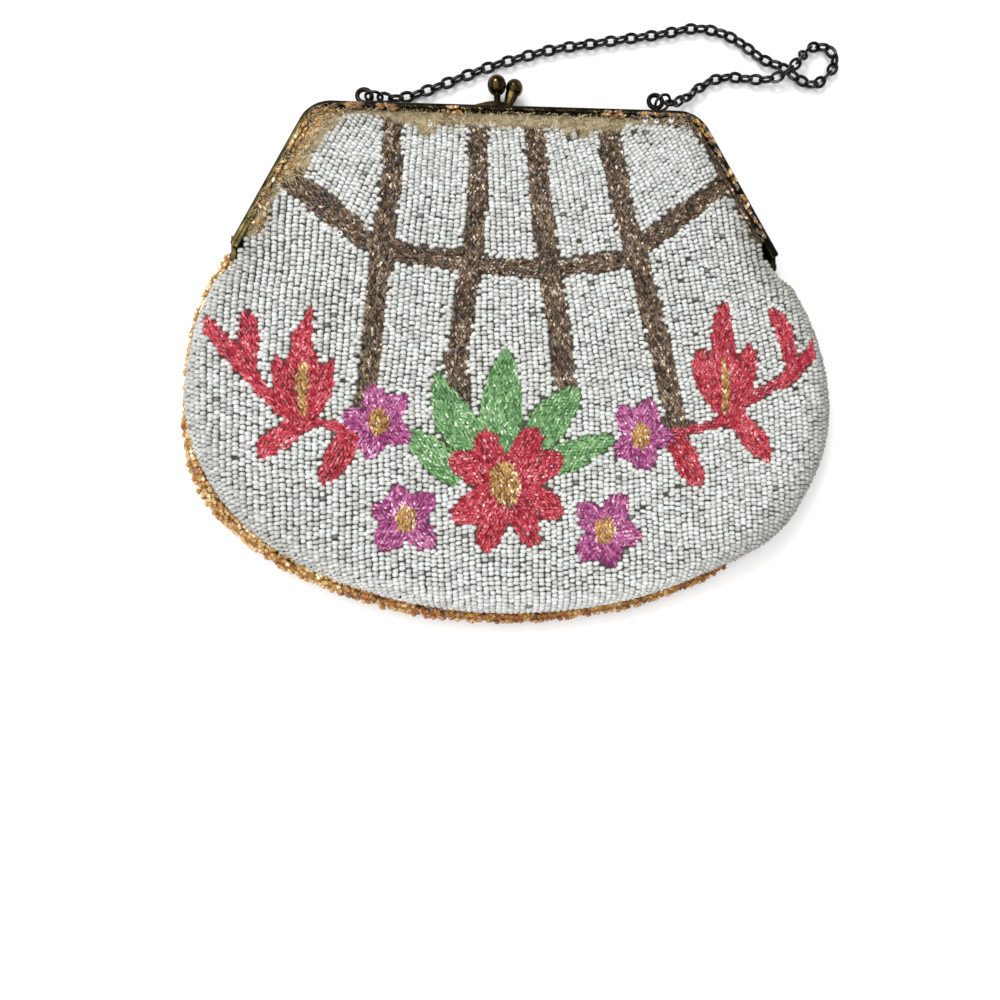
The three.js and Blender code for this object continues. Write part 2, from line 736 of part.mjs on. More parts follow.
addPiece('front_panel', clothPanel(FRONT, frontHeight, frontLean), WHITE_BEADS);
addPiece('back_panel', clothPanel(BACK, () => 0, () => 0), WHITE_BEADS);
addPiece('edging', edging(), AMBER_BEADS);
addPiece('frame_front', frameHalf(1, EYES.right, FRONT_KNOB), BRASS);
addPiece('frame_back', frameHalf(-1, EYES.left, BACK_KNOB), BRASS);
addPiece('hinge_rivet_right', hingeRivet(1), BRASS);
addPiece('hinge_rivet_left', hingeRivet(-1), BRASS);
addPiece('clasp_knob_front', frontKnob(), BRIGHT_BRASS);
addPiece('clasp_knob_back', backKnob(), BRIGHT_BRASS);
addPiece('jump_ring_left', jumpRing(EYES.left, LEFT_PULL, 0), GUNMETAL);
addPiece('jump_ring_right', jumpRing(EYES.right, RIGHT_PULL, RIGHT_TILT), GUNMETAL);
addPiece('chain', chain(), GUNMETAL);

export default handbag;
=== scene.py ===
"""Looks of a beaded handbag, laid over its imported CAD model.

Lengths here are millimetres in the part's frame: X to the right, Y toward the metal frame, Z up from the
table. Meshes are stored in metres.
"""
import math

import bpy
import numpy as np
from mathutils import Matrix


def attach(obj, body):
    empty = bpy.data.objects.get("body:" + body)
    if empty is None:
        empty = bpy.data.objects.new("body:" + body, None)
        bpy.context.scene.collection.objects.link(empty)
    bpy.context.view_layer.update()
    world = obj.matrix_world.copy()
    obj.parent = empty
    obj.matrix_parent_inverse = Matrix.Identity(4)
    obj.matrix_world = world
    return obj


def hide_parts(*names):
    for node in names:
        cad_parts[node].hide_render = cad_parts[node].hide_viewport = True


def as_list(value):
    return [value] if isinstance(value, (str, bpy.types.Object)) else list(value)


MM = 0.001
TURN = 2 * math.pi
RNG = np.random.default_rng(1925)

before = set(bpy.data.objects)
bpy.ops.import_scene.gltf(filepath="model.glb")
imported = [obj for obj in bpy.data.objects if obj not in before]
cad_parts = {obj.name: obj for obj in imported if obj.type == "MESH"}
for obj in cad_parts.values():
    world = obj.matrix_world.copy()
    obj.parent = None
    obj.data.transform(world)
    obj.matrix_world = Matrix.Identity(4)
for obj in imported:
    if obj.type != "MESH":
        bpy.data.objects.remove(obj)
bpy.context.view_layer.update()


# Curves

SPLINE_STEPS = 24


def unit(vectors):
    vectors = np.asarray(vectors, float)
    return vectors / np.linalg.norm(vectors, axis=-1, keepdims=True)


def lerp(a, b, share):
    return a + (b - a) * share


def smoothstep(share):
    share = np.clip(share, 0, 1)
    return share * share * (3 - 2 * share)


def rising(value, span):
    """From 0 at the start of a span to 1 at its end, smoothly."""
    start, end = span
    return smoothstep((value - start) / (end - start))


def hump(value, middle, reach):
    """Smoothly up to 1 at the middle and down again."""
    return np.exp(-(((value - middle) / reach) ** 2))


def spline(points):
    """A smooth curve through points."""
    points = np.asarray(points, float)
    padded = np.vstack([points[:1], points, points[-1:]])
    t = np.linspace(0, 1, SPLINE_STEPS, endpoint=False)[:, None]
    spans = []
    for a, b, c, d in zip(padded, padded[1:], padded[2:], padded[3:]):
        bend = 2 * a - 5 * b + 4 * c - d
        twist = 3 * b - a - 3 * c + d
        spans.append(0.5 * (2 * b + (c - a) * t + bend * t**2 + twist * t**3))
    return np.vstack([*spans, points[-1:]])


def bent(start, bend, end, shares):
    """A curve from start to end, drawn toward bend."""
    return start * (1 - shares) ** 2 + 2 * bend * shares * (1 - shares) + end * shares**2


def lengths_along(curve):
    steps = np.linalg.norm(np.diff(curve, axis=0), axis=1)
    return np.concatenate([[0], np.cumsum(steps)])


def at_lengths(curve, along, lengths):
    """Values of a curve's columns at given lengths along it."""
    return np.stack([np.interp(lengths, along, column) for column in curve.T], 1)


def evenly(curve, count):
    along = lengths_along(curve)
    return at_lengths(curve, along, np.linspace(0, along[-1], count))


def to_left(path):
    """Unit directions to the left of a flat path."""
    forward = unit(np.gradient(path, axis=0))
    return np.stack([-forward[:, 1], forward[:, 0]], 1)


def upward(count):
    return np.tile([0.0, 1.0], (count, 1))


# Meshes

ASKEW = (0.31, 0.17, 0.93)  # a direction that no wire here starts along


def loft(rings, closed=False):
    """Points and faces through rings of equal counts, capped unless the rings close on themselves."""
    rings = np.asarray(rings, float)
    count, corners = rings.shape[:2]
    faces = []
    for r in range(count if closed else count - 1):
        here = r * corners
        there = (r + 1) % count * corners
        for i in range(corners):
            j = (i + 1) % corners
            faces.append((here + i, here + j, there + j, there + i))
    if not closed:
        last = (count - 1) * corners
        faces.append(tuple(reversed(range(corners))))
        faces.append(tuple(range(last, last + corners)))
    return rings.reshape(-1, 3), faces


def tube(path, radius, sides, closed=False):
    """A round wire along a path. radius is one number or one for each point."""
    path = np.asarray(path, float)
    if closed:
        forward = unit(np.roll(path, -1, 0) - np.roll(path, 1, 0))
    else:
        forward = unit(np.gradient(path, axis=0))
    side = unit(np.cross(forward[0], ASKEW))
    sides_along = []
    for direction in forward:
        side = unit(side - direction * (side @ direction))
        sides_along.append(side)
    sides_along = np.array(sides_along)[:, None]
    uprights = np.cross(forward, sides_along[:, 0])[:, None]
    angles = (np.arange(sides) * TURN / sides)[None, :, None]
    reach = np.broadcast_to(radius, len(path))[:, None, None]
    rings = path[:, None] + reach * (np.cos(angles) * sides_along + np.sin(angles) * uprights)
    return loft(rings, closed)


def turned(profile, origin, axis, sides):
    """A round solid from a profile of (radius, distance along the axis)."""
    axis = unit(axis)
    helper = (1, 0, 0) if abs(axis[0]) < 0.5 else (0, 0, 1)
    side = unit(np.cross(helper, axis))
    upright = np.cross(axis, side)
    angles = np.arange(sides) * TURN / sides
    spokes = np.outer(np.cos(angles), side) + np.outer(np.sin(angles), upright)
    return loft([np.asarray(origin) + axis * far + spokes * radius for radius, far in profile])


def merged(parts):
    points = []
    faces = []
    start = 0
    for part_points, part_faces in parts:
        points.append(part_points)
        faces.extend(tuple(start + i for i in face) for face in part_faces)
        start += len(part_points)
    return np.vstack(points), faces


def join_bag(name, mesh, material, node):
    """A piece of the bag from its mesh. It stands for a CAD node if one is named."""
    mesh.materials.append(material)
    piece = bpy.data.objects.new(name, mesh)
    bpy.context.scene.collection.objects.link(piece)
    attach(piece, "root")
    if node:
        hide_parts(node)
    return piece


def add_piece(name, shape, material, node=None, sharp_degrees=40):
    """A smooth piece from points in millimetres and faces, sharp at edges past an angle unless it is 0."""
    points, faces = shape
    mesh = bpy.data.meshes.new(name)
    mesh.from_pydata([tuple(p) for p in np.asarray(points) * MM], [], faces)
    mesh.polygons.foreach_set("use_smooth", np.ones(len(mesh.polygons), bool))
    if sharp_degrees:
        mesh.set_sharp_from_angle(angle=math.radians(sharp_degrees))
    return join_bag(name, mesh, material, node)


# Materials

BRIGHTER_LEFT_X = (-0.045, -0.058)  # where the frame's left end starts to get brighter and is brightest, in metres


def linear(red, green, blue):
    """A colour given as it looks on a screen, 0 to 255, in linear light."""
    channels = []
    for value in (red, green, blue):
        share = value / 255
        channels.append(share / 12.92 if share <= 0.04045 else ((share + 0.055) / 1.055) ** 2.4)
    return (*channels, 1.0)


def feed(node, **inputs):
    """Gives inputs of a shader node their values, or links them to other nodes' outputs."""
    for name, value in inputs.items():
        socket = node.inputs[name.replace("_", " ")]
        if isinstance(value, bpy.types.NodeSocket):
            node.id_data.links.new(value, socket)
        else:
            socket.default_value = value


def new_material(name, **settings):
    material = bpy.data.materials.new(name)
    material.use_nodes = True
    shader = material.node_tree.nodes["Principled BSDF"]
    feed(shader, **settings)
    return material, material.node_tree, shader


def add_node(tree, kind, **inputs):
    node = tree.nodes.new(f"ShaderNode{kind}")
    feed(node, **inputs)
    return node


def object_place(tree):
    return add_node(tree, "TexCoord").outputs["Object"]


def patches(tree, **settings):
    return add_node(tree, "TexNoise", **settings).outputs["Fac"]


def attribute(tree, name):
    node = add_node(tree, "Attribute")
    node.attribute_name = name
    return node.outputs["Fac"]


def colours(tree, factor, stops):
    """Colours along a factor, through (position, screen colour) stops."""
    ramp = add_node(tree, "ValToRGB", Fac=factor)
    elements = ramp.color_ramp.elements
    while len(elements) < len(stops):
        elements.new(1.0)
    for element, (position, colour) in zip(elements, stops):
        element.position = position
        element.color = linear(*colour)
    return ramp.outputs["Color"]


def multiplied(tree, colour, shade, share):
    mix = add_node(tree, "Mix")
    mix.data_type = "RGBA"
    mix.blend_type = "MULTIPLY"
    feed(mix, A=colour, B=shade, Factor=share)
    return mix.outputs["Result"]


def bead_material(name, glass, stops):
    """Glass beads coloured by each face's tint."""
    material, tree, shader = new_material(name, **glass)
    feed(shader, Base_Color=colours(tree, attribute(tree, "tint"), stops))
    return material


def metal_material(name, stops, patch_scale, glossy, dull, left_brightening=0.0):
    """Tarnished metal, patchy in colour and gloss together. Its last argument makes its left end brighter."""
    material, tree, shader = new_material(name, Metallic=1.0)
    place = object_place(tree)
    tarnish = patches(tree, Vector=place, Scale=patch_scale, Detail=5.0, Roughness=0.65)
    shade = tarnish
    if left_brightening:
        x = add_node(tree, "SeparateXYZ", Vector=place).outputs["X"]
        brightening = add_node(tree, "MapRange", Value=x, From_Min=BRIGHTER_LEFT_X[0], From_Max=BRIGHTER_LEFT_X[1], To_Max=left_brightening)
        total = add_node(tree, "Math")
        for term, socket in zip((tarnish, brightening.outputs["Result"]), total.inputs):
            tree.links.new(term, socket)
        shade = total.outputs["Value"]
    gloss = add_node(tree, "MapRange", Value=tarnish, From_Min=0.3, From_Max=0.7, To_Min=dull, To_Max=glossy)
    bump = add_node(tree, "Bump", Height=tarnish, Strength=0.15, Distance=0.1 * MM)
    feed(shader, Base_Color=colours(tree, shade, stops))
    feed(shader, Roughness=gloss.outputs["Result"], Normal=bump.outputs["Normal"])
    return material


def cloth_material():
    """Tan woven cloth, with painted shade where beads cover it: darker and greyer there. bare is 1 where none
    do.
    """
    material, tree, shader = new_material("tan_cloth", Roughness=0.95)
    place = object_place(tree)
    pale, dark = linear(206, 194, 166), linear(160, 146, 116)
    weave = add_node(tree, "TexChecker", Vector=place, Scale=2600.0, Color1=pale, Color2=dark)
    stains = patches(tree, Vector=place, Scale=260.0, Detail=4.0)
    stain = colours(tree, stains, [(0.35, (158, 144, 116)), (0.65, (255, 252, 246))])
    stained = multiplied(tree, weave.outputs["Color"], stain, 0.8)
    # Painted shade: the cloth between and under the beads is darkened and greyed
    shade_under_beads = colours(tree, attribute(tree, "bare"), [(0.3, (112, 117, 125)), (0.9, (255, 255, 255))])
    feed(shader, Base_Color=multiplied(tree, stained, shade_under_beads, 1.0))
    return material


def thread_material(name, stops):
    """Cotton thread, paler and browner from place to place."""
    material, tree, shader = new_material(name, Roughness=0.9)
    shade = patches(tree, Vector=object_place(tree), Scale=900.0)
    feed(shader, Base_Color=colours(tree, shade, stops))
    return material


WHITE_GLASS = {"Roughness": 0.45, "Coat_Weight": 0.12, "Coat_Roughness": 0.2}
CLEAR_GLASS = {"Roughness": 0.24, "Coat_Weight": 0.25, "Coat_Roughness": 0.1}
AMBER_GLASS = {**CLEAR_GLASS, "Roughness": 0.2}
# Each kind of bead: its glass, and its colours along the tint. The pale top stops of the coloured kinds are
# painted glints, reached mostly by single faces.
BEAD_LOOKS = {
    "white": (WHITE_GLASS, [
        (0.0, (102, 100, 94)), (0.35, (164, 164, 159)), (0.7, (200, 201, 197)), (1.0, (217, 219, 216)),
    ]),
    "brown": (CLEAR_GLASS, [
        (0.0, (26, 18, 11)), (0.35, (72, 55, 39)), (0.75, (126, 102, 78)), (1.0, (222, 204, 180)),
    ]),
    "red": (CLEAR_GLASS, [
        (0.0, (112, 18, 32)), (0.4, (170, 38, 55)), (0.8, (200, 80, 92)), (1.0, (236, 170, 176)),
    ]),
    "green": (CLEAR_GLASS, [
        (0.0, (60, 98, 56)), (0.4, (98, 146, 88)), (0.8, (138, 176, 122)), (1.0, (204, 222, 190)),
    ]),
    "magenta": (CLEAR_GLASS, [
        (0.0, (106, 32, 80)), (0.4, (160, 66, 124)), (0.8, (194, 122, 162)), (1.0, (236, 196, 222)),
    ]),
    "amber": (AMBER_GLASS, [
        (0.0, (100, 68, 30)), (0.4, (166, 122, 62)), (0.8, (204, 166, 108)), (1.0, (240, 224, 194)),
    ]),
    "edging": (AMBER_GLASS, [
        (0.0, (92, 60, 22)), (0.18, (158, 86, 36)), (0.36, (164, 120, 56)), (0.7, (198, 162, 104)),
        (1.0, (236, 220, 190)),
    ]),
}
BEAD_MATERIALS = {kind: bead_material(f"{kind}_beads", *look) for kind, look in BEAD_LOOKS.items()}
CLOTH = cloth_material()
THREAD = thread_material(
    "tan_thread", [(0.3, (128, 104, 68)), (0.5, (184, 166, 128)), (0.7, (226, 214, 186))],
)
EDGE_THREAD = thread_material(
    "amber_thread", [(0.3, (92, 60, 26)), (0.5, (136, 96, 46)), (0.7, (172, 132, 74))],
)
FRAME_BRASS = metal_material(
    "frame_brass", [(0.3, (18, 15, 11)), (0.55, (38, 33, 22)), (0.75, (82, 72, 44)), (0.95, (112, 100, 62))],
    patch_scale=240.0, glossy=0.42, dull=0.62, left_brightening=0.25,
)
EYE_BRASS = metal_material(
    "eye_brass", [(0.3, (20, 18, 16)), (0.6, (48, 43, 34)), (0.85, (112, 100, 66))],
    patch_scale=300.0, glossy=0.25, dull=0.5,
)
TWIST_BRASS = metal_material(
    "twist_brass", [(0.35, (20, 16, 11)), (0.55, (46, 37, 23)), (0.75, (150, 128, 86))],
    patch_scale=500.0, glossy=0.2, dull=0.4,
)
# Its dark stops are partly painted reflection: the dark surroundings mirrored in the polished balls, as well
# as tarnish
CLASP_BRASS = metal_material(
    "clasp_brass", [(0.35, (20, 17, 12)), (0.52, (58, 48, 28)), (0.72, (140, 118, 68))],
    patch_scale=190.0, glossy=0.1, dull=0.32,
)
GUNMETAL = metal_material(
    "gunmetal", [(0.3, (26, 26, 27)), (0.55, (56, 55, 56)), (0.75, (100, 98, 94))],
    patch_scale=500.0, glossy=0.18, dull=0.38,
)


# The frame's path and the seam

PARTING_Z = 4.6
FRAME_HINGE = (73, 41)
FRAME_CORNER = (53, 80.3)
FRAME_CORNER_RADIUS = 9.5
TOP_RISE = 1.4  # how much higher the top bar is at its right end
TOP_HALF = 46.0
FRAME_BASE = 0.2
FRAME_FACE = 4.4
FRAME_WALL = 1.0
FLANGE_WIDTH = 2.3
FLANGE_THICKNESS = 0.8
SLOPE_STEPS = 24
CORNER_STEPS = 14
TOP_STEPS = 60
SEAM_STEPS = 361
# How the bag lies: drawn out to the right and at its bottom, more at its lower right corner.
# Its left side bulges.
PULL = 0.9
PULL_X = (0, 40)
PULL_Y = (-12, -42)
CORNER_PULL = 1.12
PULLED_CORNER = (66, -37)
PULLED_CORNER_REACH = (14, 12)
BULGE_X = (-60, -80)
BULGE_Y = 2
BULGE_REACH = 15

OUTLINE = [
    (0, -57.2), (28, -54.2), (54.5, -44.8), (72.5, -32), (82.8, -17), (86, -1), (84, 17), (79.5, 30),
    (77.6, 33),
]


def pulled(places):
    """Places on the seam or the frame as the bag lies."""
    x, y = places.T
    corner = CORNER_PULL
    for value, middle, reach in zip((x, y), PULLED_CORNER, PULLED_CORNER_REACH):
        corner = corner * hump(value, middle, reach)
    across = rising(x, PULL_X) - rising(x, BULGE_X) * hump(y, BULGE_Y, BULGE_REACH)
    return np.stack([x + PULL * across + corner, y - PULL * rising(y, PULL_Y) - corner], 1)


def seam_line(half):
    """The whole seam as the bag lies, from points on its right half."""
    return pulled(evenly(spline([*((-x, y) for x, y in half[:0:-1]), *half]), SEAM_STEPS))


SEAM = seam_line(OUTLINE)


def top_rise(x):
    return TOP_RISE * np.clip((x + TOP_HALF) / (2 * TOP_HALF), 0, 1)


def frame_stations():
    """The frame's outer face from the right hinge over the top to the left: points, outward directions."""
    hinge = np.array(FRAME_HINGE, float)
    corner = np.array(FRAME_CORNER, float)
    slope = unit(corner - hinge)
    start = math.atan2(-slope[0], slope[1])
    arc_start = corner - slope * FRAME_CORNER_RADIUS * math.tan((math.pi / 2 - start) / 2)
    slope_out = np.array([math.cos(start), math.sin(start)])
    arc_centre = arc_start - FRAME_CORNER_RADIUS * slope_out
    angles = np.linspace(start, math.pi / 2, CORNER_STEPS)
    arc_out = np.stack([np.cos(angles), np.sin(angles)], 1)
    up_slope = np.linspace(0, 1, SLOPE_STEPS, endpoint=False)[:, None]
    right = np.vstack([lerp(hinge, arc_start, up_slope), arc_centre + FRAME_CORNER_RADIUS * arc_out])
    right_out = np.vstack([np.tile(slope_out, (SLOPE_STEPS, 1)), arc_out])
    top_x = np.linspace(right[-1, 0], -right[-1, 0], TOP_STEPS)[1:-1]
    top = np.stack([top_x, np.full(len(top_x), corner[1])], 1)
    mirror = np.array([-1.0, 1.0])
    at = np.vstack([right, top, (right * mirror)[::-1]])
    out = np.vstack([right_out, upward(len(top)), (right_out * mirror)[::-1]])
    at[:, 1] += top_rise(at[:, 0]) * (at[:, 1] - hinge[1]) / (corner[1] - hinge[1])
    return pulled(at), out


STATIONS, STATIONS_OUT = frame_stations()


# The panels' surfaces

CENTRE = np.array([2.0, 9.0])
SEAM_INSET = 2.3
SEAM_LOOSE = 24.0  # last stretch of the seam, which gapes toward each hinge
SEAM_LIFT = 0.15
GRIP_INSET = 1.3
GRIP_LOW_Y = 44.7
GRIP_HEIGHT = 3.3
EDGE_STEPS = 4
SURFACE_STEP = 0.25
UPPER_LEFT_X = (-60, -75)
UPPER_LEFT_Y = (8, 20)
FLANGE_CLIMB = (FLANGE_WIDTH + 1.2, FLANGE_WIDTH - 0.2)
FLANGE_SINK = 0.9
FRONT_HEIGHT = 11.8
CROWN = 2.8  # how much higher the middle of the front stands
CROWN_Y = 16
CROWN_HALF = (96, 62)
HALF_WIDTH = 86
LEAN_MIDDLE = 20  # degrees that the front's side turns in below its widest level
LEAN_SIDES = 16
# Dents of the front: x, y, reach and depth
DENTS = [
    (-69, 37, 19, 2.6), (69, 37, 19, 2.6), (-56, 14, 20, 0.9), (58, 10, 18, 1.1), (-32, -28, 22, 0.7),
    (34, 44, 17, 0.8),
]


def front_height(x, y):
    across = np.maximum(0, 1 - (x / CROWN_HALF[0]) ** 2)
    along = np.maximum(0, 1 - ((y - CROWN_Y) / CROWN_HALF[1]) ** 2)
    height = FRONT_HEIGHT + CROWN * across * along
    for dent_x, dent_y, reach, depth in DENTS:
        height = height - depth * hump(x, dent_x, reach) * hump(y, dent_y, reach)
    return height


def front_lean(x):
    return np.radians(LEAN_MIDDLE + LEAN_SIDES * x / HALF_WIDTH)


# hinge_edge is the cloth's edge past a hinge, as x, y and how far the frame holds it, from 0 to 1.
# It hangs over the hinge on the front. overhang is how much further the edge reaches at the upper left.
FRONT = {
    "direction": 1,
    "rounding": 5.0,
    "rise": 26.0,
    "height": front_height,
    "lean": front_lean,
    "seam_end": 0.2,
    "overhang": 0.8,
    "hinge_edge": [(73.8, 34.4, 0.5), (71.4, 38.2, 0.8), (70.3, 41.6, 0.95)],
}
BACK = {
    "direction": -1,
    "rounding": 4.2,
    "rise": 11.0,
    "height": lambda x, y: np.zeros_like(x),
    "lean": lambda x: np.zeros_like(x),
    "seam_end": 0.35,
    "overhang": 0.0,
    "hinge_edge": [(68.6, 34.5, 0.55), (68.6, 41.5, 0.8)],
}


def upper_left(places):
    """How far places on the seam belong to its upper left stretch, from 0 to 1."""
    x, y = places.T
    return rising(x, UPPER_LEFT_X) * rising(y, UPPER_LEFT_Y)


def polar(flat):
    """Angles and distances of places on the flat cloth from its centre."""
    spoke = flat - CENTRE
    return np.arctan2(spoke[:, 1], spoke[:, 0]), np.hypot(spoke[:, 0], spoke[:, 1])


def panel_edge(side):
    """The cloth's edge seen from its centre: angles, distances, and how far the frame holds it, 0 to 1."""
    inset = SEAM_INSET - side["overhang"] * upper_left(SEAM)
    seam = SEAM + inset[:, None] * to_left(SEAM)
    lengths = lengths_along(SEAM)
    to_end = np.minimum(lengths, lengths[-1] - lengths)
    seam_held = side["seam_end"] * np.clip(1 - to_end / SEAM_LOOSE, 0, 1)
    grip = STATIONS - GRIP_INSET * STATIONS_OUT
    grip = grip[grip[:, 1] > GRIP_LOW_Y]
    corners = [*np.column_stack([seam, seam_held]), *side["hinge_edge"]]
    corners += [(x, y, 1.0) for x, y in grip]
    corners += [(-x, y, held) for x, y, held in reversed(side["hinge_edge"])]
    corners = np.array([*corners, corners[0]])
    count = len(corners)
    fine = at_lengths(corners, np.arange(count), np.linspace(0, count - 1, EDGE_STEPS * count))
    return *polar(fine[:, :2]), fine[:, 2]


for panel in (FRONT, BACK):
    panel["edge"] = panel_edge(panel)


def edge_facts(side, angle):
    """At angles from the centre: the edge's distance, hold and lean, and where the rounded side begins."""
    angles, reaches, holds = side["edge"]
    edge = np.interp(angle, angles, reaches, period=TURN)
    held = np.interp(angle, angles, holds, period=TURN)
    lean = side["lean"](CENTRE[0] + edge * np.cos(angle))
    level = edge - side["rounding"] * lerp(np.cos(lean), 1.0, held)
    return edge, held, lean, level


def flat_limit(side, angle):
    """How far the cloth reaches from the centre once its rounded side is rolled out flat."""
    edge, held, lean, level = edge_facts(side, angle)
    return lerp(level + side["rounding"] * (math.pi / 2 + lean), edge, held)


def on_panel(side, flat):
    """Points of a panel's outer surface, from places on the flat cloth."""
    angle, reach = polar(flat)
    edge, held, lean, level = edge_facts(side, angle)
    past = np.maximum(0, reach - level)
    turn = np.maximum(-lean, math.pi / 2 - past / side["rounding"])
    seam_far = side["rounding"] * (np.cos(lean) - np.cos(turn))
    level_far = np.maximum(0, edge - reach)
    far = np.where(past > 0, lerp(seam_far, level_far, held), level_far)
    seam_climb = (np.sin(turn) + np.sin(lean)) / (1 + np.sin(lean))
    climb = lerp(seam_climb, smoothstep(level_far / side["rise"]), held)
    x = CENTRE[0] + np.cos(angle) * (edge - far)
    y = CENTRE[1] + np.sin(angle) * (edge - far)
    edge_z = PARTING_Z + side["direction"] * lerp(SEAM_LIFT, GRIP_HEIGHT, held)
    return np.stack([x, y, lerp(edge_z, side["height"](x, y), climb)], 1)


def sewn(side, flat, along, depth):
    """Places at a depth under a panel's surface, and directions along the thread, outward and across."""
    right = np.stack([along[:, 1], -along[:, 0]], 1)
    forward, sideways = (
        on_panel(side, flat + SURFACE_STEP * way) - on_panel(side, flat - SURFACE_STEP * way)
        for way in (along, right)
    )
    forward = unit(forward)
    out = unit(np.cross(sideways, forward)) * side["direction"]
    return on_panel(side, flat) - out * np.reshape(depth, (-1, 1)), forward, out, np.cross(out, forward)


def frame_inset(points):
    """How far in from the frame's outer face points lie, seen from above."""
    gaps = points[:, None, :2] - STATIONS
    nearest = np.argmin((gaps**2).sum(-1), 1)
    return -(gaps[np.arange(len(points)), nearest] * STATIONS_OUT[nearest]).sum(-1)


def over_frame(centres, half_width):
    """Places of beads or threads, with those at the frame's inner edge lifted gently onto its flange."""
    onto = rising(frame_inset(centres), FLANGE_CLIMB) * (centres[:, 1] > FRAME_HINGE[1])
    lifted = centres.copy()
    lowest = PARTING_Z + FRAME_FACE + FLANGE_SINK * half_width
    lifted[:, 2] = np.maximum(lifted[:, 2], lerp(lifted[:, 2], lowest, onto))
    return lifted


# Beads

def bead_shape(sides, profile):
    """A bead round a real hole along Z: a ring of sides with a closed profile of (radius, height)."""
    angles = np.arange(sides) * TURN / sides
    rings = [[(radius * math.cos(t), radius * math.sin(t), z) for radius, z in profile] for t in angles]
    points, faces = loft(rings, closed=True)
    return points, np.array(faces)[:, [0, 3, 2, 1]]


FINE_BEAD = bead_shape(6, [(0.5, -0.5), (1.0, -0.22), (1.0, 0.22), (0.5, 0.5)])
SMALL_BEAD = bead_shape(5, [(0.45, -0.5), (1.0, 0.0), (0.45, 0.5)])
PLAIN_BEAD = bead_shape(4, [(0.45, -0.5), (1.0, 0.0), (0.45, 0.5)])


def bead_piece(name, shape, places, sizes, tints, kind="white", smooth=True, node=None):
    """Many beads as one piece. places are centres and directions; sizes are half widths and lengths.
    tints has one row for each bead: one value, or one for each face."""
    centre, along, out, across = places
    roll = RNG.uniform(0, TURN, (len(centre), 1))
    out, across = out * np.cos(roll) - across * np.sin(roll), across * np.cos(roll) + out * np.sin(roll)
    half_width, length = (np.broadcast_to(size, len(centre))[:, None, None] for size in sizes)
    template, faces = shape
    wide = template[None, :, 0, None] * across[:, None] + template[None, :, 1, None] * out[:, None]
    points = centre[:, None] + half_width * wide + length * template[None, :, 2, None] * along[:, None]
    starts = np.arange(len(centre)) * len(template)
    corners = (starts[:, None, None] + faces[None]).reshape(-1)
    face_count = len(centre) * len(faces)
    mesh = bpy.data.meshes.new(name)
    mesh.vertices.add(len(centre) * len(template))
    mesh.vertices.foreach_set("co", (points * MM).astype(np.float32).ravel())
    mesh.loops.add(len(corners))
    mesh.loops.foreach_set("vertex_index", corners.astype(np.int32))
    mesh.polygons.add(face_count)
    mesh.polygons.foreach_set("loop_start", np.arange(0, len(corners), 4, dtype=np.int32))
    mesh.update(calc_edges=True)
    mesh.polygons.foreach_set("use_smooth", np.full(face_count, smooth))
    tint = mesh.attributes.new("tint", "FLOAT", "FACE")
    face_tints = np.broadcast_to(np.reshape(tints, (len(centre), -1)), (len(centre), len(faces)))
    tint.data.foreach_set("value", face_tints.astype(np.float32).ravel())
    return join_bag(name, mesh, BEAD_MATERIALS[kind], node)


def tints_with_glints(own, spread):
    """A tint for each face of small beads, spread round each bead's own: the spread paints glints of light on
    single faces.
    """
    return np.clip(own[:, None] + RNG.normal(0, spread, (len(own), len(SMALL_BEAD[1]))), 0, 1)


# The pattern, as strokes of (x, y, width)

# Brown bars from left to right: the width and the middle line
BARS = [
    (5.9, [(-31.3, 75.3), (-32.1, 57.2), (-34.2, 42.1), (-35.3, 32.5), (-37.2, 18), (-39.7, -2.1)]),
    (6.0, [
        (-8.5, 75.6), (-9.5, 56.7), (-11.3, 41.6), (-12.7, 31.9), (-15.1, 17.4), (-16.7, 7.9), (-16.1, -0.7),
    ]),
    (6.3, [(7.1, 75.4), (6.7, 56.4), (7.4, 41.3), (8.8, 26.7), (9.8, 17), (11.3, 0.7)]),
    (6.6, [
        (28.3, 76.8), (27.7, 67.8), (28.6, 56.3), (29.9, 46.3), (32.6, 36.4), (34, 26.6), (35.9, 16.8),
        (37.5, 7.2),
        (39.4, -2.4), (40.3, -9.2),
    ]),
]
CROSS = [
    (-57.5, 57.5, 7), (-52.5, 52.8, 7), (-47, 47.5, 7), (-41.5, 42, 6.4), (-36, 38.5, 5.8),
    (-28.5, 36.1, 5.6),
    (-18.9, 34.9, 5.6), (-9.3, 33.3, 5.6), (0.3, 32.6, 5.6), (9.9, 33, 5.6), (19.6, 34.4, 5.6),
    (29.4, 36.4, 5.6),
    (33.5, 39.7, 5.6), (40, 45, 5.6), (46.5, 50, 5.6), (53, 55, 5.6), (59.5, 60.5, 5.6),
]
AMBER_CENTRES = [
    [(-6.3, -19.5, 3.5), (-5.6, -21.5, 7.6), (-5.2, -24.8, 8), (-4.4, -27.6, 3.5)],
    [(-54.6, 8.2, 1.6), (-54.9, 4, 3.8), (-55, 0, 3.4), (-54.8, -4.8, 2)],
    [(55, 9, 1.6), (54.9, 4, 3), (54.5, -1, 2.8), (53.9, -5.5, 2)],
]
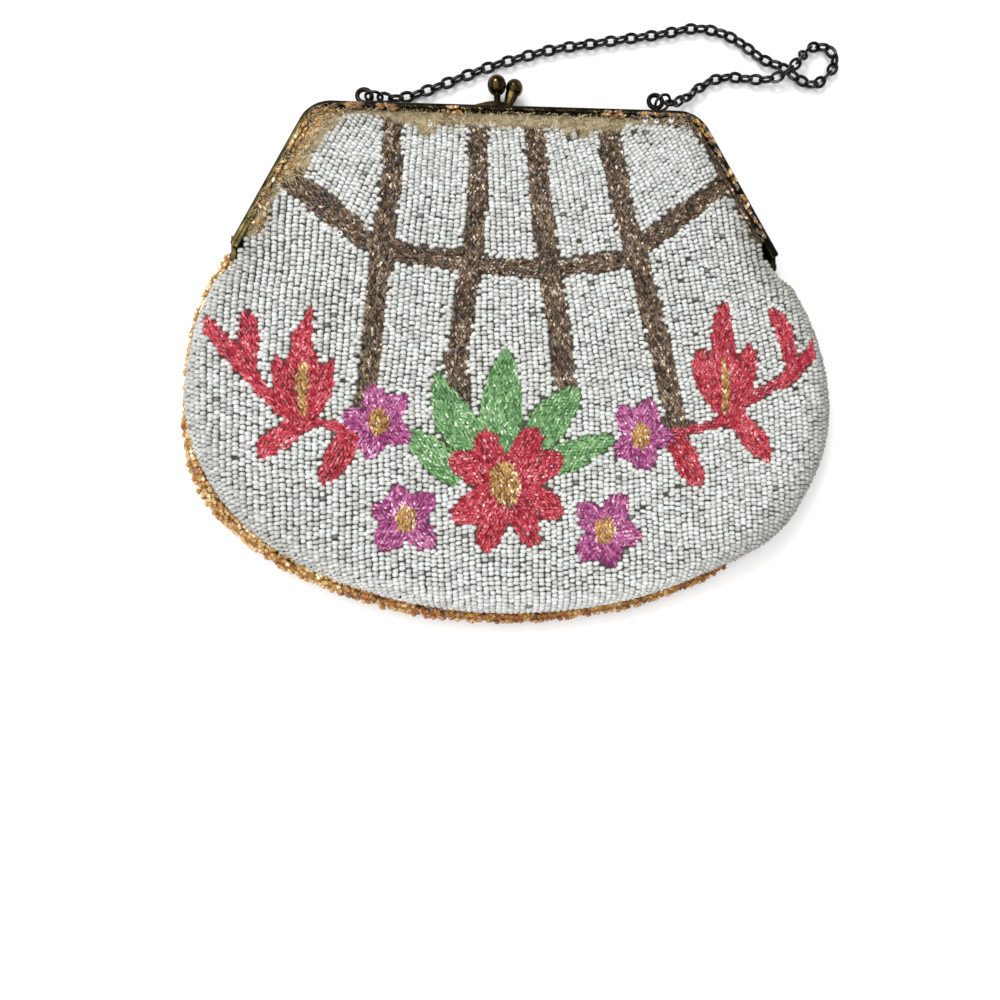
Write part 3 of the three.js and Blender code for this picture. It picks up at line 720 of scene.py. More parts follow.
RED_FLOWER = [
    [(-9.6, -11.6, 4.4), (-9.6, -13, 6.8), (-9.2, -15.5, 8), (-8, -19, 8)],
    [(2.2, -11.4, 4.4), (1.6, -12.6, 6.8), (0, -15.5, 8.4), (-2, -19, 8)],
    [(7.8, -17.6, 4.6), (6.6, -17.8, 6.8), (4, -19, 8.6), (0, -21.5, 8.5)],
    [(7.2, -30.6, 5), (6, -29.8, 7), (3, -28, 8), (-1, -25.5, 8)],
    [(1.2, -38.3, 2.5), (0.7, -36.7, 5.4), (-0.2, -34, 7.2), (-2.5, -29, 8)],
    [(-10.6, -39.3, 3), (-10.2, -37.3, 6), (-9.2, -34.5, 7.4), (-7, -29, 8.5)],
    [(-17, -31, 4.4), (-15.8, -30.6, 6.6), (-13.5, -29.5, 8), (-9, -26.5, 8)],
    [(-17, -17.2, 5), (-15.8, -18, 7.4), (-13, -19.3, 8.4), (-9, -21.5, 8.5)],
]
LEAVES = [
    [
        (-4.5, 10, 3), (-4.5, 7.5, 5.6), (-4.8, 4, 8), (-5.1, 0, 9.6), (-5.6, -4, 11.4), (-5.6, -9, 10),
        (-5, -15, 3),
    ],
    [(-21.4, 3.4, 3.5), (-20.9, 0.5, 5.4), (-19.4, -3.5, 8.4), (-17, -8, 11), (-13.5, -12.5, 10)],
    [(-28.4, -10.8, 3), (-26.5, -12.5, 6), (-23.5, -15.5, 8), (-20.5, -18.5, 8), (-18.5, -21, 5.5)],
    [(13.4, -0.1, 3), (11.4, -2.3, 6.8), (8.3, -5.6, 9.6), (5.5, -9, 10.5), (3.5, -13, 8)],
    [(21.8, -12.6, 3), (19.5, -13.4, 5), (16, -14.8, 6.6), (12.5, -16.3, 8.4), (9, -17.8, 8)],
]
# Each magenta flower's centre and the tips of its petals
MAGENTA_FLOWERS = [
    ((-36.5, -7.5), [(-37.4, 0.6), (-30.8, -1.6), (-30.4, -11.5), (-39.2, -15), (-43.8, -6.6)]),
    ((30.5, -11.6), [(25.6, -5.6), (33.2, -3.8), (37.6, -12), (31.4, -19.2), (25.2, -16)]),
    ((-30.2, -31.7), [(-32.3, -24.9), (-24.6, -26.8), (-25, -37.6), (-36.5, -37.8), (-37, -29.3)]),
    ((19.9, -35.8), [(14.2, -30.3), (24.3, -28), (28.2, -37.3), (21.5, -43.3), (14.3, -41.8)]),
]
FLOWER_EYE = [(-2.4, 3), (0, 5.8), (2.4, 3)]  # height from the centre, and width
PETAL = [(0.2, 6), (0.62, 7.4), (0.95, 4.6)]  # share of the way to the tip, and width
LEFT_LILY = [
    [(-53.5, 21.8, 1.6), (-53.5, 19.5, 3.2), (-54.4, 16.5, 4.6), (-55, 13, 5.8), (-55, 9, 6.4)],
    [(-61.3, 9.3, 2.5), (-60.6, 6.5, 4.5), (-59.5, 2, 5.5), (-57.5, -3, 5), (-56, -5.5, 3.5)],
    [(-48.2, 7.3, 2.5), (-49.3, 5, 4.8), (-50, 1, 5.2), (-52, -3.5, 4.6), (-54, -6, 3.5)],
    [(-55, 10.5, 7), (-55, 5, 9.5), (-55, 0, 8.5), (-55, -5, 5)],
    [
        (-79, 19.8, 2.5), (-77.5, 17.3, 4.2), (-74.6, 13.7, 4.6), (-71.3, 9.8, 5), (-68, 5.4, 4.4),
        (-64.6, 1.2, 3.8), (-61, -2.6, 4), (-57.5, -6, 4),
    ],
    [(-69.2, 21.6, 2), (-68.3, 19, 4.8), (-68, 15, 5.8), (-67.9, 11, 5.4), (-68, 6.5, 4.5)],
    [(-55.5, -7.5, 5), (-58.5, -9.8, 6), (-61.5, -12, 6.2), (-63.7, -13.3, 5.4), (-64.2, -15, 3)],
    [(-55, -6.8, 5), (-51, -7.4, 3.2), (-47, -8.4, 3), (-43.5, -9.6, 4.5)],
    [(-43.2, -9.8, 5), (-44.6, -12.8, 7), (-46.8, -16.5, 7), (-48.9, -19.7, 5.2), (-49.6, -22, 2.5)],
]
RIGHT_LILY = [
    [(56.4, 24.4, 2.2), (55.9, 22, 4.6), (55.3, 18.5, 6), (55, 14.5, 7), (55, 10, 7.5)],
    [(48.6, 11, 2.8), (48.2, 8, 5.4), (48.9, 4, 6.2), (50.3, 0, 5.8), (52.3, -4, 4.5)],
    [(62.3, 12.4, 3), (62, 9.5, 5.6), (60.8, 5.5, 6.2), (59, 1, 6), (57, -4, 5)],
    [(55, 11, 8), (54.9, 5, 10), (54.7, 0, 8.5), (54.3, -5.5, 5.5)],
    [
        (56.5, -4, 5), (60.5, -1.8, 4), (65, 0.4, 3.6), (69.5, 2.4, 3.6), (73.5, 5, 4.6), (77, 8.4, 4.6),
        (79.5, 11, 4), (80.6, 14.5, 2.4),
    ],
    [(70, 22.6, 3), (71.8, 20.8, 5.4), (73, 17.5, 5.6), (73.4, 13.5, 5.2), (73.8, 9.5, 4.6), (74, 6, 4)],
    [(57, -6, 6), (59, -9.5, 6.8), (61.5, -12.8, 7.4), (63.6, -15.2, 5.6), (64.6, -17.8, 2.5)],
    [(56, -7, 4.5), (51.5, -8.3, 3.2), (47, -9.4, 2.8), (43, -10.2, 3), (39.5, -11.2, 4)],
    [(40, -11.5, 5), (41, -14.5, 7), (42.6, -18.5, 7.2), (44.3, -21.8, 5.8), (45, -24, 2.8)],
]
# Amber beads caught along the frame, with brown ones beside those on the right
LEFT_AMBER = [
    [
        (-64.2, 52, 2.2), (-62.1, 55.8, 3.2), (-59.6, 59.6, 4), (-57, 64.3, 4.4), (-54.5, 69.2, 4.6),
        (-52, 73.5, 4.4), (-49.1, 76.3, 3.2), (-45.5, 77.8, 2),
    ],
    [(-65.6, 50.4, 1.8), (-65.2, 47.6, 3.2), (-66.6, 45.2, 3), (-68.8, 43, 1.8)],
    [(-44.5, 78.3, 1.7), (-40, 78.5, 1.8)],
    [(-35, 78.3, 1.9), (-31, 78.4, 1.9)],
    [(-17.3, 78.6, 2.1), (-13.5, 78.6, 2.1)],
    [(27, 79, 2.2), (31.5, 79.1, 2.2)],
]
RIGHT_AMBER = [
    [
        (36, 79.4, 1.4), (43, 79.6, 1.4), (50, 79.2, 1.6), (54.2, 76.4, 2), (56.4, 72.8, 1.7),
        (59.6, 66.4, 1.6),
    ],
    [(60.6, 63.6, 2.8), (62.6, 59.4, 2.8)],
    [(64.5, 56, 1.6), (66.3, 52.2, 2), (68.4, 48, 2), (69.8, 45.2, 1.6)],
]
LEFT_AMBER_KEPT = 0.62
RIGHT_AMBER_KEPT = 0.3
BROWN_KEPT = 0.8
BROWN_SHIFT = (-0.7, -0.4, 1.2)
# White beads at the ends of rows, with their holes turned up
END_BEADS = [
    (38.2, 78.5), (41.4, 78.5), (45.6, 78.7), (33.2, 77.2), (12.2, 75.6), (-4.8, 75.8), (-21.6, 74.8),
    (-45.4, 41.4),
    (-59.8, 54.2),
]
# Upper limit of the white beads; the cloth above it is bare
WHITE_TOP = np.array([
    (-77, 34), (-73.2, 39.8), (-70.5, 41.6), (-68, 42.6), (-66, 44.2), (-64.4, 47), (-63.9, 50), (-63.1, 53),
    (-61.6, 56), (-54.2, 61), (-53, 65), (-50, 69.6), (-46.8, 73.6), (-44, 76.8), (-36, 77.6), (-33, 76),
    (-28, 75), (-25, 74.6), (-24, 71), (-22, 71.5), (-20, 74.5), (-12, 75.3), (4, 75), (15.5, 75.3),
    (16, 71.3),
    (17.3, 71.3), (17.6, 75.2), (19.2, 75.2), (19.5, 72), (20.8, 71.5), (21.2, 75), (31.5, 75.3), (34, 77.8),
    (48, 78.6), (54, 77.2), (58, 70), (60, 65.5), (62, 58.5), (65, 55.5), (68.3, 49), (70.5, 44.5),
    (72.5, 42.5),
    (74.4, 39.5), (77, 34),
])

COLUMN_PITCH = 1.58
BEAD_PITCH = 1.15
COLUMN_WAVER = 0.09
SLANTED_WAVER = 0.06
WHITE_JITTER = (0.08, 0.09)
WHITE_GAP = 0.74
WHITE_INSET = 2.3
RIGHT_INSET = 2.9
RIGHT_INSET_X = 50
WHITE_MARGIN = 0.35
MISSING_SHARE = 0.004
FIELD_REACH = 112.0
SPOT_PITCH = 0.93
SPOT_JITTER = 0.09
SPOTS_X = (-88.0, 88.0)
SPOTS_Y = (-58.0, 81.0)
STROKE_MARGIN = 0.3
RAGGED_TOP = 0.5
FILL_GAP = 0.92
FILL_TRIES = 4
CELL = 2.0

placed = {}
taken = {}


def packed_spots():
    """Closely packed places for beads all over the front, a little uneven."""
    x = np.arange(*SPOTS_X, SPOT_PITCH)
    y = np.arange(*SPOTS_Y, SPOT_PITCH * math.sqrt(0.75))
    across, along = np.meshgrid(x, y)
    across = across + np.where(np.arange(len(y)) % 2 == 0, 0.0, SPOT_PITCH / 2)[:, None]
    spots = np.stack([across.ravel(), along.ravel()], 1)
    return spots + RNG.normal(0, SPOT_JITTER, spots.shape)


SPOTS = packed_spots()
spot_free = np.ones(len(SPOTS), bool)


def is_free(place, gap):
    x, y = place
    column, row = int(x // CELL), int(y // CELL)
    for i in (column - 1, column, column + 1):
        for j in (row - 1, row, row + 1):
            for other_x, other_y in taken.get((i, j), ()):
                if (other_x - x) ** 2 + (other_y - y) ** 2 < gap * gap:
                    return False
    return True


def take(kind, place, along):
    x, y = place
    taken.setdefault((int(x // CELL), int(y // CELL)), []).append((x, y))
    placed.setdefault(kind, []).append((x, y, *along))


def above_top(flat):
    """How far places lie above the upper limit of the white beads."""
    return flat[:, 1] - np.interp(flat[:, 0], WHITE_TOP[:, 0], WHITE_TOP[:, 1])


def fill(kind, points, kept=1.0, to_top=False):
    """Beads of a kind on a stroke's free spots, turned along it. It can end at the bare cloth above."""
    line = spline(points)
    forward = unit(np.gradient(line[:, :2], axis=0))
    reach = line[:, 2].max()
    low, high = line[:, :2].min(0) - reach, line[:, :2].max(0) + reach
    near = np.flatnonzero(spot_free & np.all((SPOTS > low) & (SPOTS < high), 1))
    gaps = np.linalg.norm(SPOTS[near, None] - line[:, :2], axis=-1) - line[:, 2] / 2
    inside = (gaps.min(1) < -STROKE_MARGIN) & (RNG.random(len(near)) < kept)
    if to_top:
        inside &= above_top(SPOTS[near]) < RNG.normal(0, RAGGED_TOP, len(near))
    spot_free[near[inside]] = False
    for place, along in zip(SPOTS[near[inside]], forward[gaps.argmin(1)[inside]]):
        take(kind, place, along)


def magenta_flower(centre, tips):
    x, y = centre
    fill("amber", [(x, y + height, width) for height, width in FLOWER_EYE])
    for tip_x, tip_y in tips:
        fill("magenta", [(lerp(x, tip_x, share), lerp(y, tip_y, share), width) for share, width in PETAL])


for points in AMBER_CENTRES:
    fill("amber", points)
for flower in MAGENTA_FLOWERS:
    magenta_flower(*flower)
for points in RED_FLOWER + LEFT_LILY + RIGHT_LILY:
    fill("red", points)
for points in LEAVES:
    fill("green", points)
for width, points in BARS:
    fill("brown", [(x, y, width) for x, y in points], to_top=True)
fill("brown", CROSS, to_top=True)
for points in LEFT_AMBER:
    fill("amber", points, LEFT_AMBER_KEPT)
for points in RIGHT_AMBER:
    fill("amber", points, RIGHT_AMBER_KEPT)
    fill("brown", np.add(points, BROWN_SHIFT), BROWN_KEPT)
beside_pattern = spot_free & np.array([not is_free(spot, CELL) for spot in SPOTS])

# Fields of upright columns: the bars on their left and right, and the columns' lean in X for a step up.
# They lean only above STRAIGHT_Y. The outer ones lean less toward the bag's sides, over a width of LEAN_FADE.
FIELDS = [(None, 0, 0.105), (0, 1, 0.1), (1, 2, 0.0), (2, 3, -0.1), (3, None, -0.136)]
STRAIGHT_Y = -2.0
LEAN_FADE = 46
# Fields of slanted columns in the upper corners: the bars beside them, and the columns' slant in degrees
CORNER_FIELDS = [(None, 0, 25), (3, None, -20)]
CORNERS_X = (-58, 61)
# Waves that make a column's course uneven: radians for a millimetre in X and in Y, and the start
WAVES = [(0.21, 0.13, 0.0), (0.09, -0.17, 1.3), (0.05, 0.31, 0.0)]


def bar_x(bar, y):
    """Where a bar's middle is at a height. Past its ends it goes straight up or down."""
    points = np.array(BARS[bar][1][::-1])
    return np.interp(y, points[:, 1], points[:, 0])


def between_bars(x, y, left, right):
    """Whether places lie between two bars, or on the outer side of one."""
    inside = np.ones(len(x), bool)
    if left is not None:
        inside &= x > bar_x(left, y)
    if right is not None:
        inside &= x < bar_x(right, y)
    return inside


def in_corners(x, y):
    """Whether places lie above the cross band, within the upper corners' width."""
    cross = np.array(CROSS)
    return (y > np.interp(x, cross[:, 0], cross[:, 1])) & (x > CORNERS_X[0]) & (x < CORNERS_X[1])


def waver(x, y, size):
    """Slow unevenness of a column's course."""
    return size * sum(np.sin(x * in_x + y * in_y + start) for in_x, in_y, start in WAVES)


def column_grid(column_pitch, bead_pitch):
    """Column positions and places along them. Each column starts at its own height."""
    columns = np.arange(-FIELD_REACH, FIELD_REACH, column_pitch)
    steps = np.arange(-FIELD_REACH, FIELD_REACH, bead_pitch)
    across, along = np.meshgrid(columns, steps, indexing="ij")
    starts = RNG.uniform(0, bead_pitch, (len(columns), 1))
    return across.ravel(), (along + starts).ravel()


def field_beads():
    """Candidate white beads of the front: places on the flat cloth and thread directions."""
    across, along = column_grid(COLUMN_PITCH, BEAD_PITCH)
    for left, right, steepest in FIELDS:
        outer = left is None or right is None
        fade = np.clip((HALF_WIDTH - np.abs(across)) / LEAN_FADE, 0, 1) if outer else np.ones_like(across)
        lean = steepest * fade
        x = across + lean * np.maximum(0, along - STRAIGHT_Y) + waver(across, along, COLUMN_WAVER)
        direction = unit(np.stack([np.where(along > STRAIGHT_Y, lean, 0), np.ones_like(x)], 1))
        chosen = between_bars(x, along, left, right)
        if outer:
            chosen &= ~in_corners(x, along)
        yield np.stack([x, along], 1)[chosen], direction[chosen]
    for left, right, slant in CORNER_FIELDS:
        up = np.array([math.sin(math.radians(slant)), math.cos(math.radians(slant))])
        side = np.array([up[1], -up[0]])
        flat = np.outer(across, side) + np.outer(along, up)
        flat = flat + waver(flat[:, 0], flat[:, 1], SLANTED_WAVER)[:, None] * side
        x, y = flat.T
        chosen = between_bars(x, y, left, right) & in_corners(x, y)
        yield flat[chosen], np.tile(up, (chosen.sum(), 1))


def inside_cloth(side, flat, margin):
    angle, reach = polar(flat)
    return reach < flat_limit(side, angle) - margin


def white_area(flat):
    """Where white beads are sewn on the front."""
    least = np.where(flat[:, 0] > RIGHT_INSET_X, RIGHT_INSET, WHITE_INSET)
    clear = (flat[:, 1] < FRAME_HINGE[1]) | (frame_inset(flat) > least)
    return clear & inside_cloth(FRONT, flat, WHITE_MARGIN) & (above_top(flat) < 0)


for flat, direction in field_beads():
    chosen = white_area(flat) & (RNG.random(len(flat)) > MISSING_SHARE)
    jitter = RNG.normal(0, WHITE_JITTER, flat.shape)
    for place, along in zip((flat + jitter)[chosen], direction[chosen]):
        if is_free(place, WHITE_GAP):
            take("white", place, along)
# White beads in the chinks beside the pattern
for _ in range(FILL_TRIES):
    chinks = SPOTS[beside_pattern]
    chinks = chinks + RNG.uniform(-SPOT_PITCH / 2, SPOT_PITCH / 2, chinks.shape)
    for place in chinks[white_area(chinks)]:
        if is_free(place, FILL_GAP):
            take("white", place, (0.0, 1.0))


# The fields of beads

WHITE_HALF_WIDTH = 0.87
WHITE_LENGTH = 1.25
WHITE_SPREAD = 0.08
WHITE_TURN = 12
WHITE_SINK = (-0.05, 0.15)
WHITE_TINTS = (0.5, 1.0)
SPOILT_SHARE = 0.004
SPOILT_TINT = 0.05
# Painted shade on the front's rounded sides: how much it darkens the white beads on the left and on the
# right, its span past the start of the rounding, and its span from the middle in X
RIM_SHADE_LEFT = 0.35
RIM_SHADE_RIGHT = 0.65
RIM_SHADE_FROM_LEVEL = (-6, 5)
RIM_SHADE_X = (30, 70)
COLOUR_HALF_WIDTH = 0.52
COLOUR_LENGTH = 1.6
COLOUR_SPREAD = 0.06
COLOUR_TURN = 22
COLOUR_SINK = (-0.06, 0.14)
COLOUR_TINTS = (0.1, 0.72)
COLOUR_WAVES = (1.7, 0.05)
# How far single faces of the coloured beads stray from their bead's tint: painted glints
FACE_GLINT_SPREAD = 0.17
AMBER_PALE_Y = 42
AMBER_PALER = 0.12
AMBER_DARK_Y = (76, 78)
AMBER_DARKER = 0.3
ON_BARE = 0.8
LOOSE_DEPTH = -0.1
END_DEPTH = 0.3
END_TINT = 0.9
BARE_DEPTH = 0.15
BACK_COLUMN_PITCH = 1.8
BACK_BEAD_PITCH = 1.3
BACK_WAVER = 0.06
BACK_MARGIN = 0.6
BACK_TINTS = (0.4, 1)


def jittered(directions, degrees):
    turn = np.radians(RNG.normal(0, degrees, len(directions)))
    cos, sin = np.cos(turn), np.sin(turn)
    x, y = directions.T
    return np.stack([x * cos - y * sin, x * sin + y * cos], 1)


def painted_rim_shade(flat):
    """How much painted shade darkens the front's beads, from 0 to 1: most on the rounded sides at the left
    and the right.
    """
    angle, reach = polar(flat)
    *_, level = edge_facts(FRONT, angle)
    return rising(reach - level, RIM_SHADE_FROM_LEVEL) * rising(np.abs(flat[:, 0]), RIM_SHADE_X)


def white_beads(name, flat, direction):
    direction = jittered(direction, WHITE_TURN)
    count = len(flat)
    half_width = WHITE_HALF_WIDTH * RNG.normal(1, WHITE_SPREAD, count)
    centres, *axes = sewn(FRONT, flat, direction, half_width + RNG.uniform(*WHITE_SINK, count))
    # Painted shade darkens the white beads on the rounded sides, more on the right
    most = np.where(flat[:, 0] > 0, RIM_SHADE_RIGHT, RIM_SHADE_LEFT)
    tints = RNG.uniform(*WHITE_TINTS, count) * (1 - most * painted_rim_shade(flat))
    tints = np.where(RNG.random(count) < SPOILT_SHARE, SPOILT_TINT, tints)
    sizes = (half_width, WHITE_LENGTH * RNG.normal(1, WHITE_SPREAD, count))
    return bead_piece(name, FINE_BEAD, (over_frame(centres, half_width), *axes), sizes, tints)


def coloured_beads(colour, flat, direction):
    count = len(flat)
    half_width = COLOUR_HALF_WIDTH * RNG.normal(1, COLOUR_SPREAD, count)
    depth = np.where(above_top(flat) > ON_BARE, LOOSE_DEPTH, WHITE_HALF_WIDTH)
    depth = depth + RNG.uniform(*COLOUR_SINK, count)
    centres, *axes = sewn(FRONT, flat, jittered(direction, COLOUR_TURN), depth)
    x, y = flat.T
    scale, size = COLOUR_WAVES
    own = RNG.uniform(*COLOUR_TINTS, count) + waver(scale * x, scale * y, size)
    if colour == "amber":
        own = own + AMBER_PALER * (y > AMBER_PALE_Y) - AMBER_DARKER * rising(y, AMBER_DARK_Y)
    places = (over_frame(centres, half_width), *axes)
    tints = tints_with_glints(own, FACE_GLINT_SPREAD)
    return bead_piece(
        f"{colour}_beads", SMALL_BEAD, places, (half_width, COLOUR_LENGTH), tints, colour, smooth=False,
    )


def end_beads():
    flat = np.array(END_BEADS)
    centres, forward, out, across = sewn(FRONT, flat, upward(len(flat)), END_DEPTH)
    places = (over_frame(centres, WHITE_HALF_WIDTH), out, forward, -across)
    tints = np.full(len(flat), END_TINT)
    return bead_piece("end_beads", FINE_BEAD, places, (WHITE_HALF_WIDTH, WHITE_LENGTH), tints)


def front_beads():
    white = np.array(placed["white"])
    on_left = white[:, 0] < np.median(white[:, 0])
    pieces = []
    for name, chosen in {"left": on_left, "right": ~on_left}.items():
        pieces.append(white_beads(f"white_beads_{name}", white[chosen, :2], white[chosen, 2:]))
    for colour in ("brown", "red", "green", "magenta", "amber"):
        beads = np.array(placed[colour])
        pieces.append(coloured_beads(colour, beads[:, :2], beads[:, 2:]))
    return [*pieces, end_beads()]


def back_beads():
    """The plain back: upright columns of white beads."""
    across, along = column_grid(BACK_COLUMN_PITCH, BACK_BEAD_PITCH)
    flat = np.stack([across + waver(across, along, BACK_WAVER), along], 1)
    flat = flat[inside_cloth(BACK, flat, BACK_MARGIN) & (above_top(flat) < 0)]
    half_width = BACK_COLUMN_PITCH / 2
    sizes = (half_width, BACK_BEAD_PITCH)
    pieces = []
    for name, chosen in {"left": flat[:, 0] < 0, "right": flat[:, 0] >= 0}.items():
        count = int(chosen.sum())
        places = sewn(BACK, flat[chosen], upward(count), half_width)
        tints = RNG.uniform(*BACK_TINTS, count)
        pieces.append(bead_piece(f"back_beads_{name}", PLAIN_BEAD, places, sizes, tints))
    return pieces


# The cloth under the beads

SPOKES = 180
RINGS = 34
FIRST_RING = 0.004
RING_POWER = 0.8
BEAD_DEPTH = 1.0
INNER_DEPTH = 2.2
HELD_DEPTH = 0.95
BARE_EDGE = (-0.8, 0.6)
HELD_RINGS = (0.8, 1.0)


def cloth_panel(side, name, node):
    """A closed hollow shell under a panel's surface, with its beads' bed below the bare cloth."""
    angles = np.arange(SPOKES) * TURN / SPOKES
    spokes = np.stack([np.cos(angles), np.sin(angles)], 1)
    shares = np.linspace(FIRST_RING, 1, RINGS) ** RING_POWER
    limits = flat_limit(side, angles)
    flat = (CENTRE + (shares[:, None] * limits)[:, :, None] * spokes).reshape(-1, 2)
    outward = np.tile(spokes, (RINGS, 1))
    bare = rising(above_top(flat), BARE_EDGE)
    held = np.tile(edge_facts(side, angles)[1], RINGS) * np.repeat(rising(shares, HELD_RINGS), SPOKES)
    skins = []
    for depth, bareness in (
        (lerp(INNER_DEPTH, HELD_DEPTH, held), np.ones_like(bare)), (lerp(BEAD_DEPTH, BARE_DEPTH, bare), bare),
    ):
        points, *_ = sewn(side, flat, outward, depth)
        skins.append(np.column_stack([points, bareness]).reshape(RINGS, SPOKES, -1))
    first, second = skins[::side["direction"]]
    rings = np.vstack([first, second[::-1]])
    piece = add_piece(name, loft(rings[:, :, :3]), CLOTH, node, sharp_degrees=0)
    # bare sets where the cloth material paints shade under the beads
    values = piece.data.attributes.new("bare", "FLOAT", "POINT")
    values.data.foreach_set("value", rings[:, :, 3].astype(np.float32).ravel())
    x, y = (CENTRE + limits[:, None] * spokes).T
    area = 0.5 * abs(np.sum(x * np.roll(y, -1) - y * np.roll(x, -1)))
    return piece, (np.ptp(x), np.ptp(y)), area


FRONT_BEADS = front_beads()
BACK_BEADS = back_beads()
for side, name, beads in ((FRONT, "front", FRONT_BEADS), (BACK, "back", BACK_BEADS)):
    cloth, (width, length), area = cloth_panel(side, f"{name}_cloth", f"{name}_panel")
    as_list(beads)


# The side seam's edging: small loops of amber beads

LOOP_STEP = 0.95
LOOP_BEADS = [(2.6, 1.1), (1.5, 0.85), (0.3, 0.0), (1.5, -0.85), (2.6, -1.1)]  # inset and lift
LOOP_SLANT = 0.55
LOOP_STEEP = 0.8
OUTERMOST_STEEP = 0.25
LOOP_ASKEW = (0.2, 0.1, 1)
ALONG_SPREAD = 0.28
INSET_SPREAD = 0.24
LIFT_SPREAD = 0.16
EDGING_HALF_WIDTH = 0.76
EDGING_LENGTH = 1.45
EDGING_TINTS = (0.25, 0.75)
EDGING_WAVES = (2.2, 0.07)
# How far single faces of the edging beads stray from their bead's tint: painted glints
EDGING_GLINT_SPREAD = 0.14
EDGING_SPREAD = 0.08
EDGING_PALER_UP = 0.14
EDGING_UP_Y = (-20, 10)
EDGING_DARKER_RIGHT = 0.24
EDGING_RIGHT_X = (-60, -20)
UPPER_LEFT_PALER = 0.12
UPPER_LEFT_SMALLER = 0.2
# Where the loops stand out or are hidden, and by how much
LOOPS_LEFT_X = (0, -40)
LEFT_REACH = 0.2
LOWER_LEFT_Y = (-24, 11)  # middle and reach
LOWER_LEFT_REACH = 0.9
BULGE_HIDES = 2.0
BOTTOM_Y = (-35, -55)
BOTTOM_X = (60, 0)
BOTTOM_HIDES = 0.1
RIGHT_X = (47, 61)
RIGHT_HIDES = 2.2
CORD_INSET = 1.3
CORD_RADIUS = 0.9
CORD_SIDES = 8
EDGING = seam_line([*OUTLINE, (74.6, 38.8)])


def loop_reach(at):
    """How far the loops stand out, most at the lower left. On the right they lie under the cloth."""
    x, y = at.T
    on_left = rising(x, LOOPS_LEFT_X)
    left = LEFT_REACH + LOWER_LEFT_REACH * hump(y, *LOWER_LEFT_Y)
    left = left - BULGE_HIDES * hump(y, BULGE_Y, BULGE_REACH)
    bottom = BOTTOM_HIDES * rising(y, BOTTOM_Y) * rising(x, BOTTOM_X)
    return on_left * left - (1 - on_left) * bottom - RIGHT_HIDES * rising(x, RIGHT_X)


def edging_beads():
    lengths = lengths_along(EDGING)
    stations = np.arange(LOOP_STEP / 2, lengths[-1], LOOP_STEP)
    count = len(stations)
    inward = to_left(EDGING)
    centres = []
    directions = []
    for inset, lift in LOOP_BEADS:
        along = stations + LOOP_SLANT * lift + RNG.normal(0, ALONG_SPREAD, count)
        at = at_lengths(EDGING, lengths, along)
        into = unit(at_lengths(inward, lengths, along))
        insets = inset + RNG.normal(0, INSET_SPREAD, count)
        flat = at + (insets - loop_reach(at))[:, None] * into
        centres.append(np.column_stack([flat, PARTING_Z + lift + RNG.normal(0, LIFT_SPREAD, count)]))
        steep = math.copysign(LOOP_STEEP, lift) if lift else OUTERMOST_STEEP
        level = into * abs(steep) + LOOP_SLANT * np.stack([-into[:, 1], into[:, 0]], 1)
        directions.append(unit(np.column_stack([level, np.full(count, steep)])))
    centres = np.vstack(centres)
    along = np.vstack(directions)
    across = unit(np.cross(along, LOOP_ASKEW))
    x, y, _ = centres.T
    scale, size = EDGING_WAVES
    own = RNG.uniform(*EDGING_TINTS, len(centres)) + waver(scale * x, scale * y, size)
    pale = upper_left(centres[:, :2])
    own = own + EDGING_PALER_UP * rising(y, EDGING_UP_Y) - EDGING_DARKER_RIGHT * rising(x, EDGING_RIGHT_X)
    own = own + UPPER_LEFT_PALER * pale
    half_width = EDGING_HALF_WIDTH * RNG.normal(1, EDGING_SPREAD, len(centres))
    half_width = half_width * (1 - UPPER_LEFT_SMALLER * pale)
    places = (centres, along, np.cross(along, across), across)
    return bead_piece(
        "edging_beads", SMALL_BEAD, places, (half_width, EDGING_LENGTH), tints_with_glints(own, EDGING_GLINT_SPREAD),
        "edging", smooth=False, node="edging",
    )


def seam_cord():
    """The cord that the loops are sewn round."""
    flat = EDGING + (CORD_INSET - loop_reach(EDGING))[:, None] * to_left(EDGING)
    return tube(np.column_stack([flat, np.full(len(flat), PARTING_Z)]), CORD_RADIUS, CORD_SIDES)


edging_beads()
add_piece("edging_cord", seam_cord(), EDGE_THREAD)


# The metal frame

HINGE_Y = 37.9
LUG_RADIUS = 2.1
LUG_THICKNESS = 1.25
LUG_SIDES = 24
LUG_HEEL = (1.6, -1.4)
LUG_CHAMFER = 0.15
WEB_FAR = 2.5
EYE_RADIUS = 1.95
EYE_WIRE = 0.66
EYE_STEPS = 32
RING_SIDES = 10
EYE_LEFT = np.array([-39, 85.4, 3.0])
EYE_RIGHT = np.array([42.1, 85.4, 6.4])
EYE_FOOT = [(1.3, 0), (1.3, 1.2), (1.25, 1.9), (1.05, 2.6), (0.85, 3.2), (0.8, 3.8)]
FOOT_Y = 79.8
FOOT_SIDES = 18
EDGE_RADIUS = 0.9
EDGE_TURNS = 6
END_RADIUS = 1.2
END_STEPS = (0.45, 0.8, 1.05)
OUTER_GROOVE = [(0, 1.2), (0.15, 1.35), (0.15, 1.75), (0, 1.9)]
TWIST_WIDTH = 1.0
TWIST_BED = 0.3
BED_SLOPE = 0.12
BED_CHAMFER = 0.1
TWIST_SIDES = 6
TWIST_STEP = 0.34
TWIST_PITCH = 2.9
TWIST_LIFT = 0.08
TWIST_SWING = (0.28, 0.26)  # across and up
TWIST_WIRE = 0.3
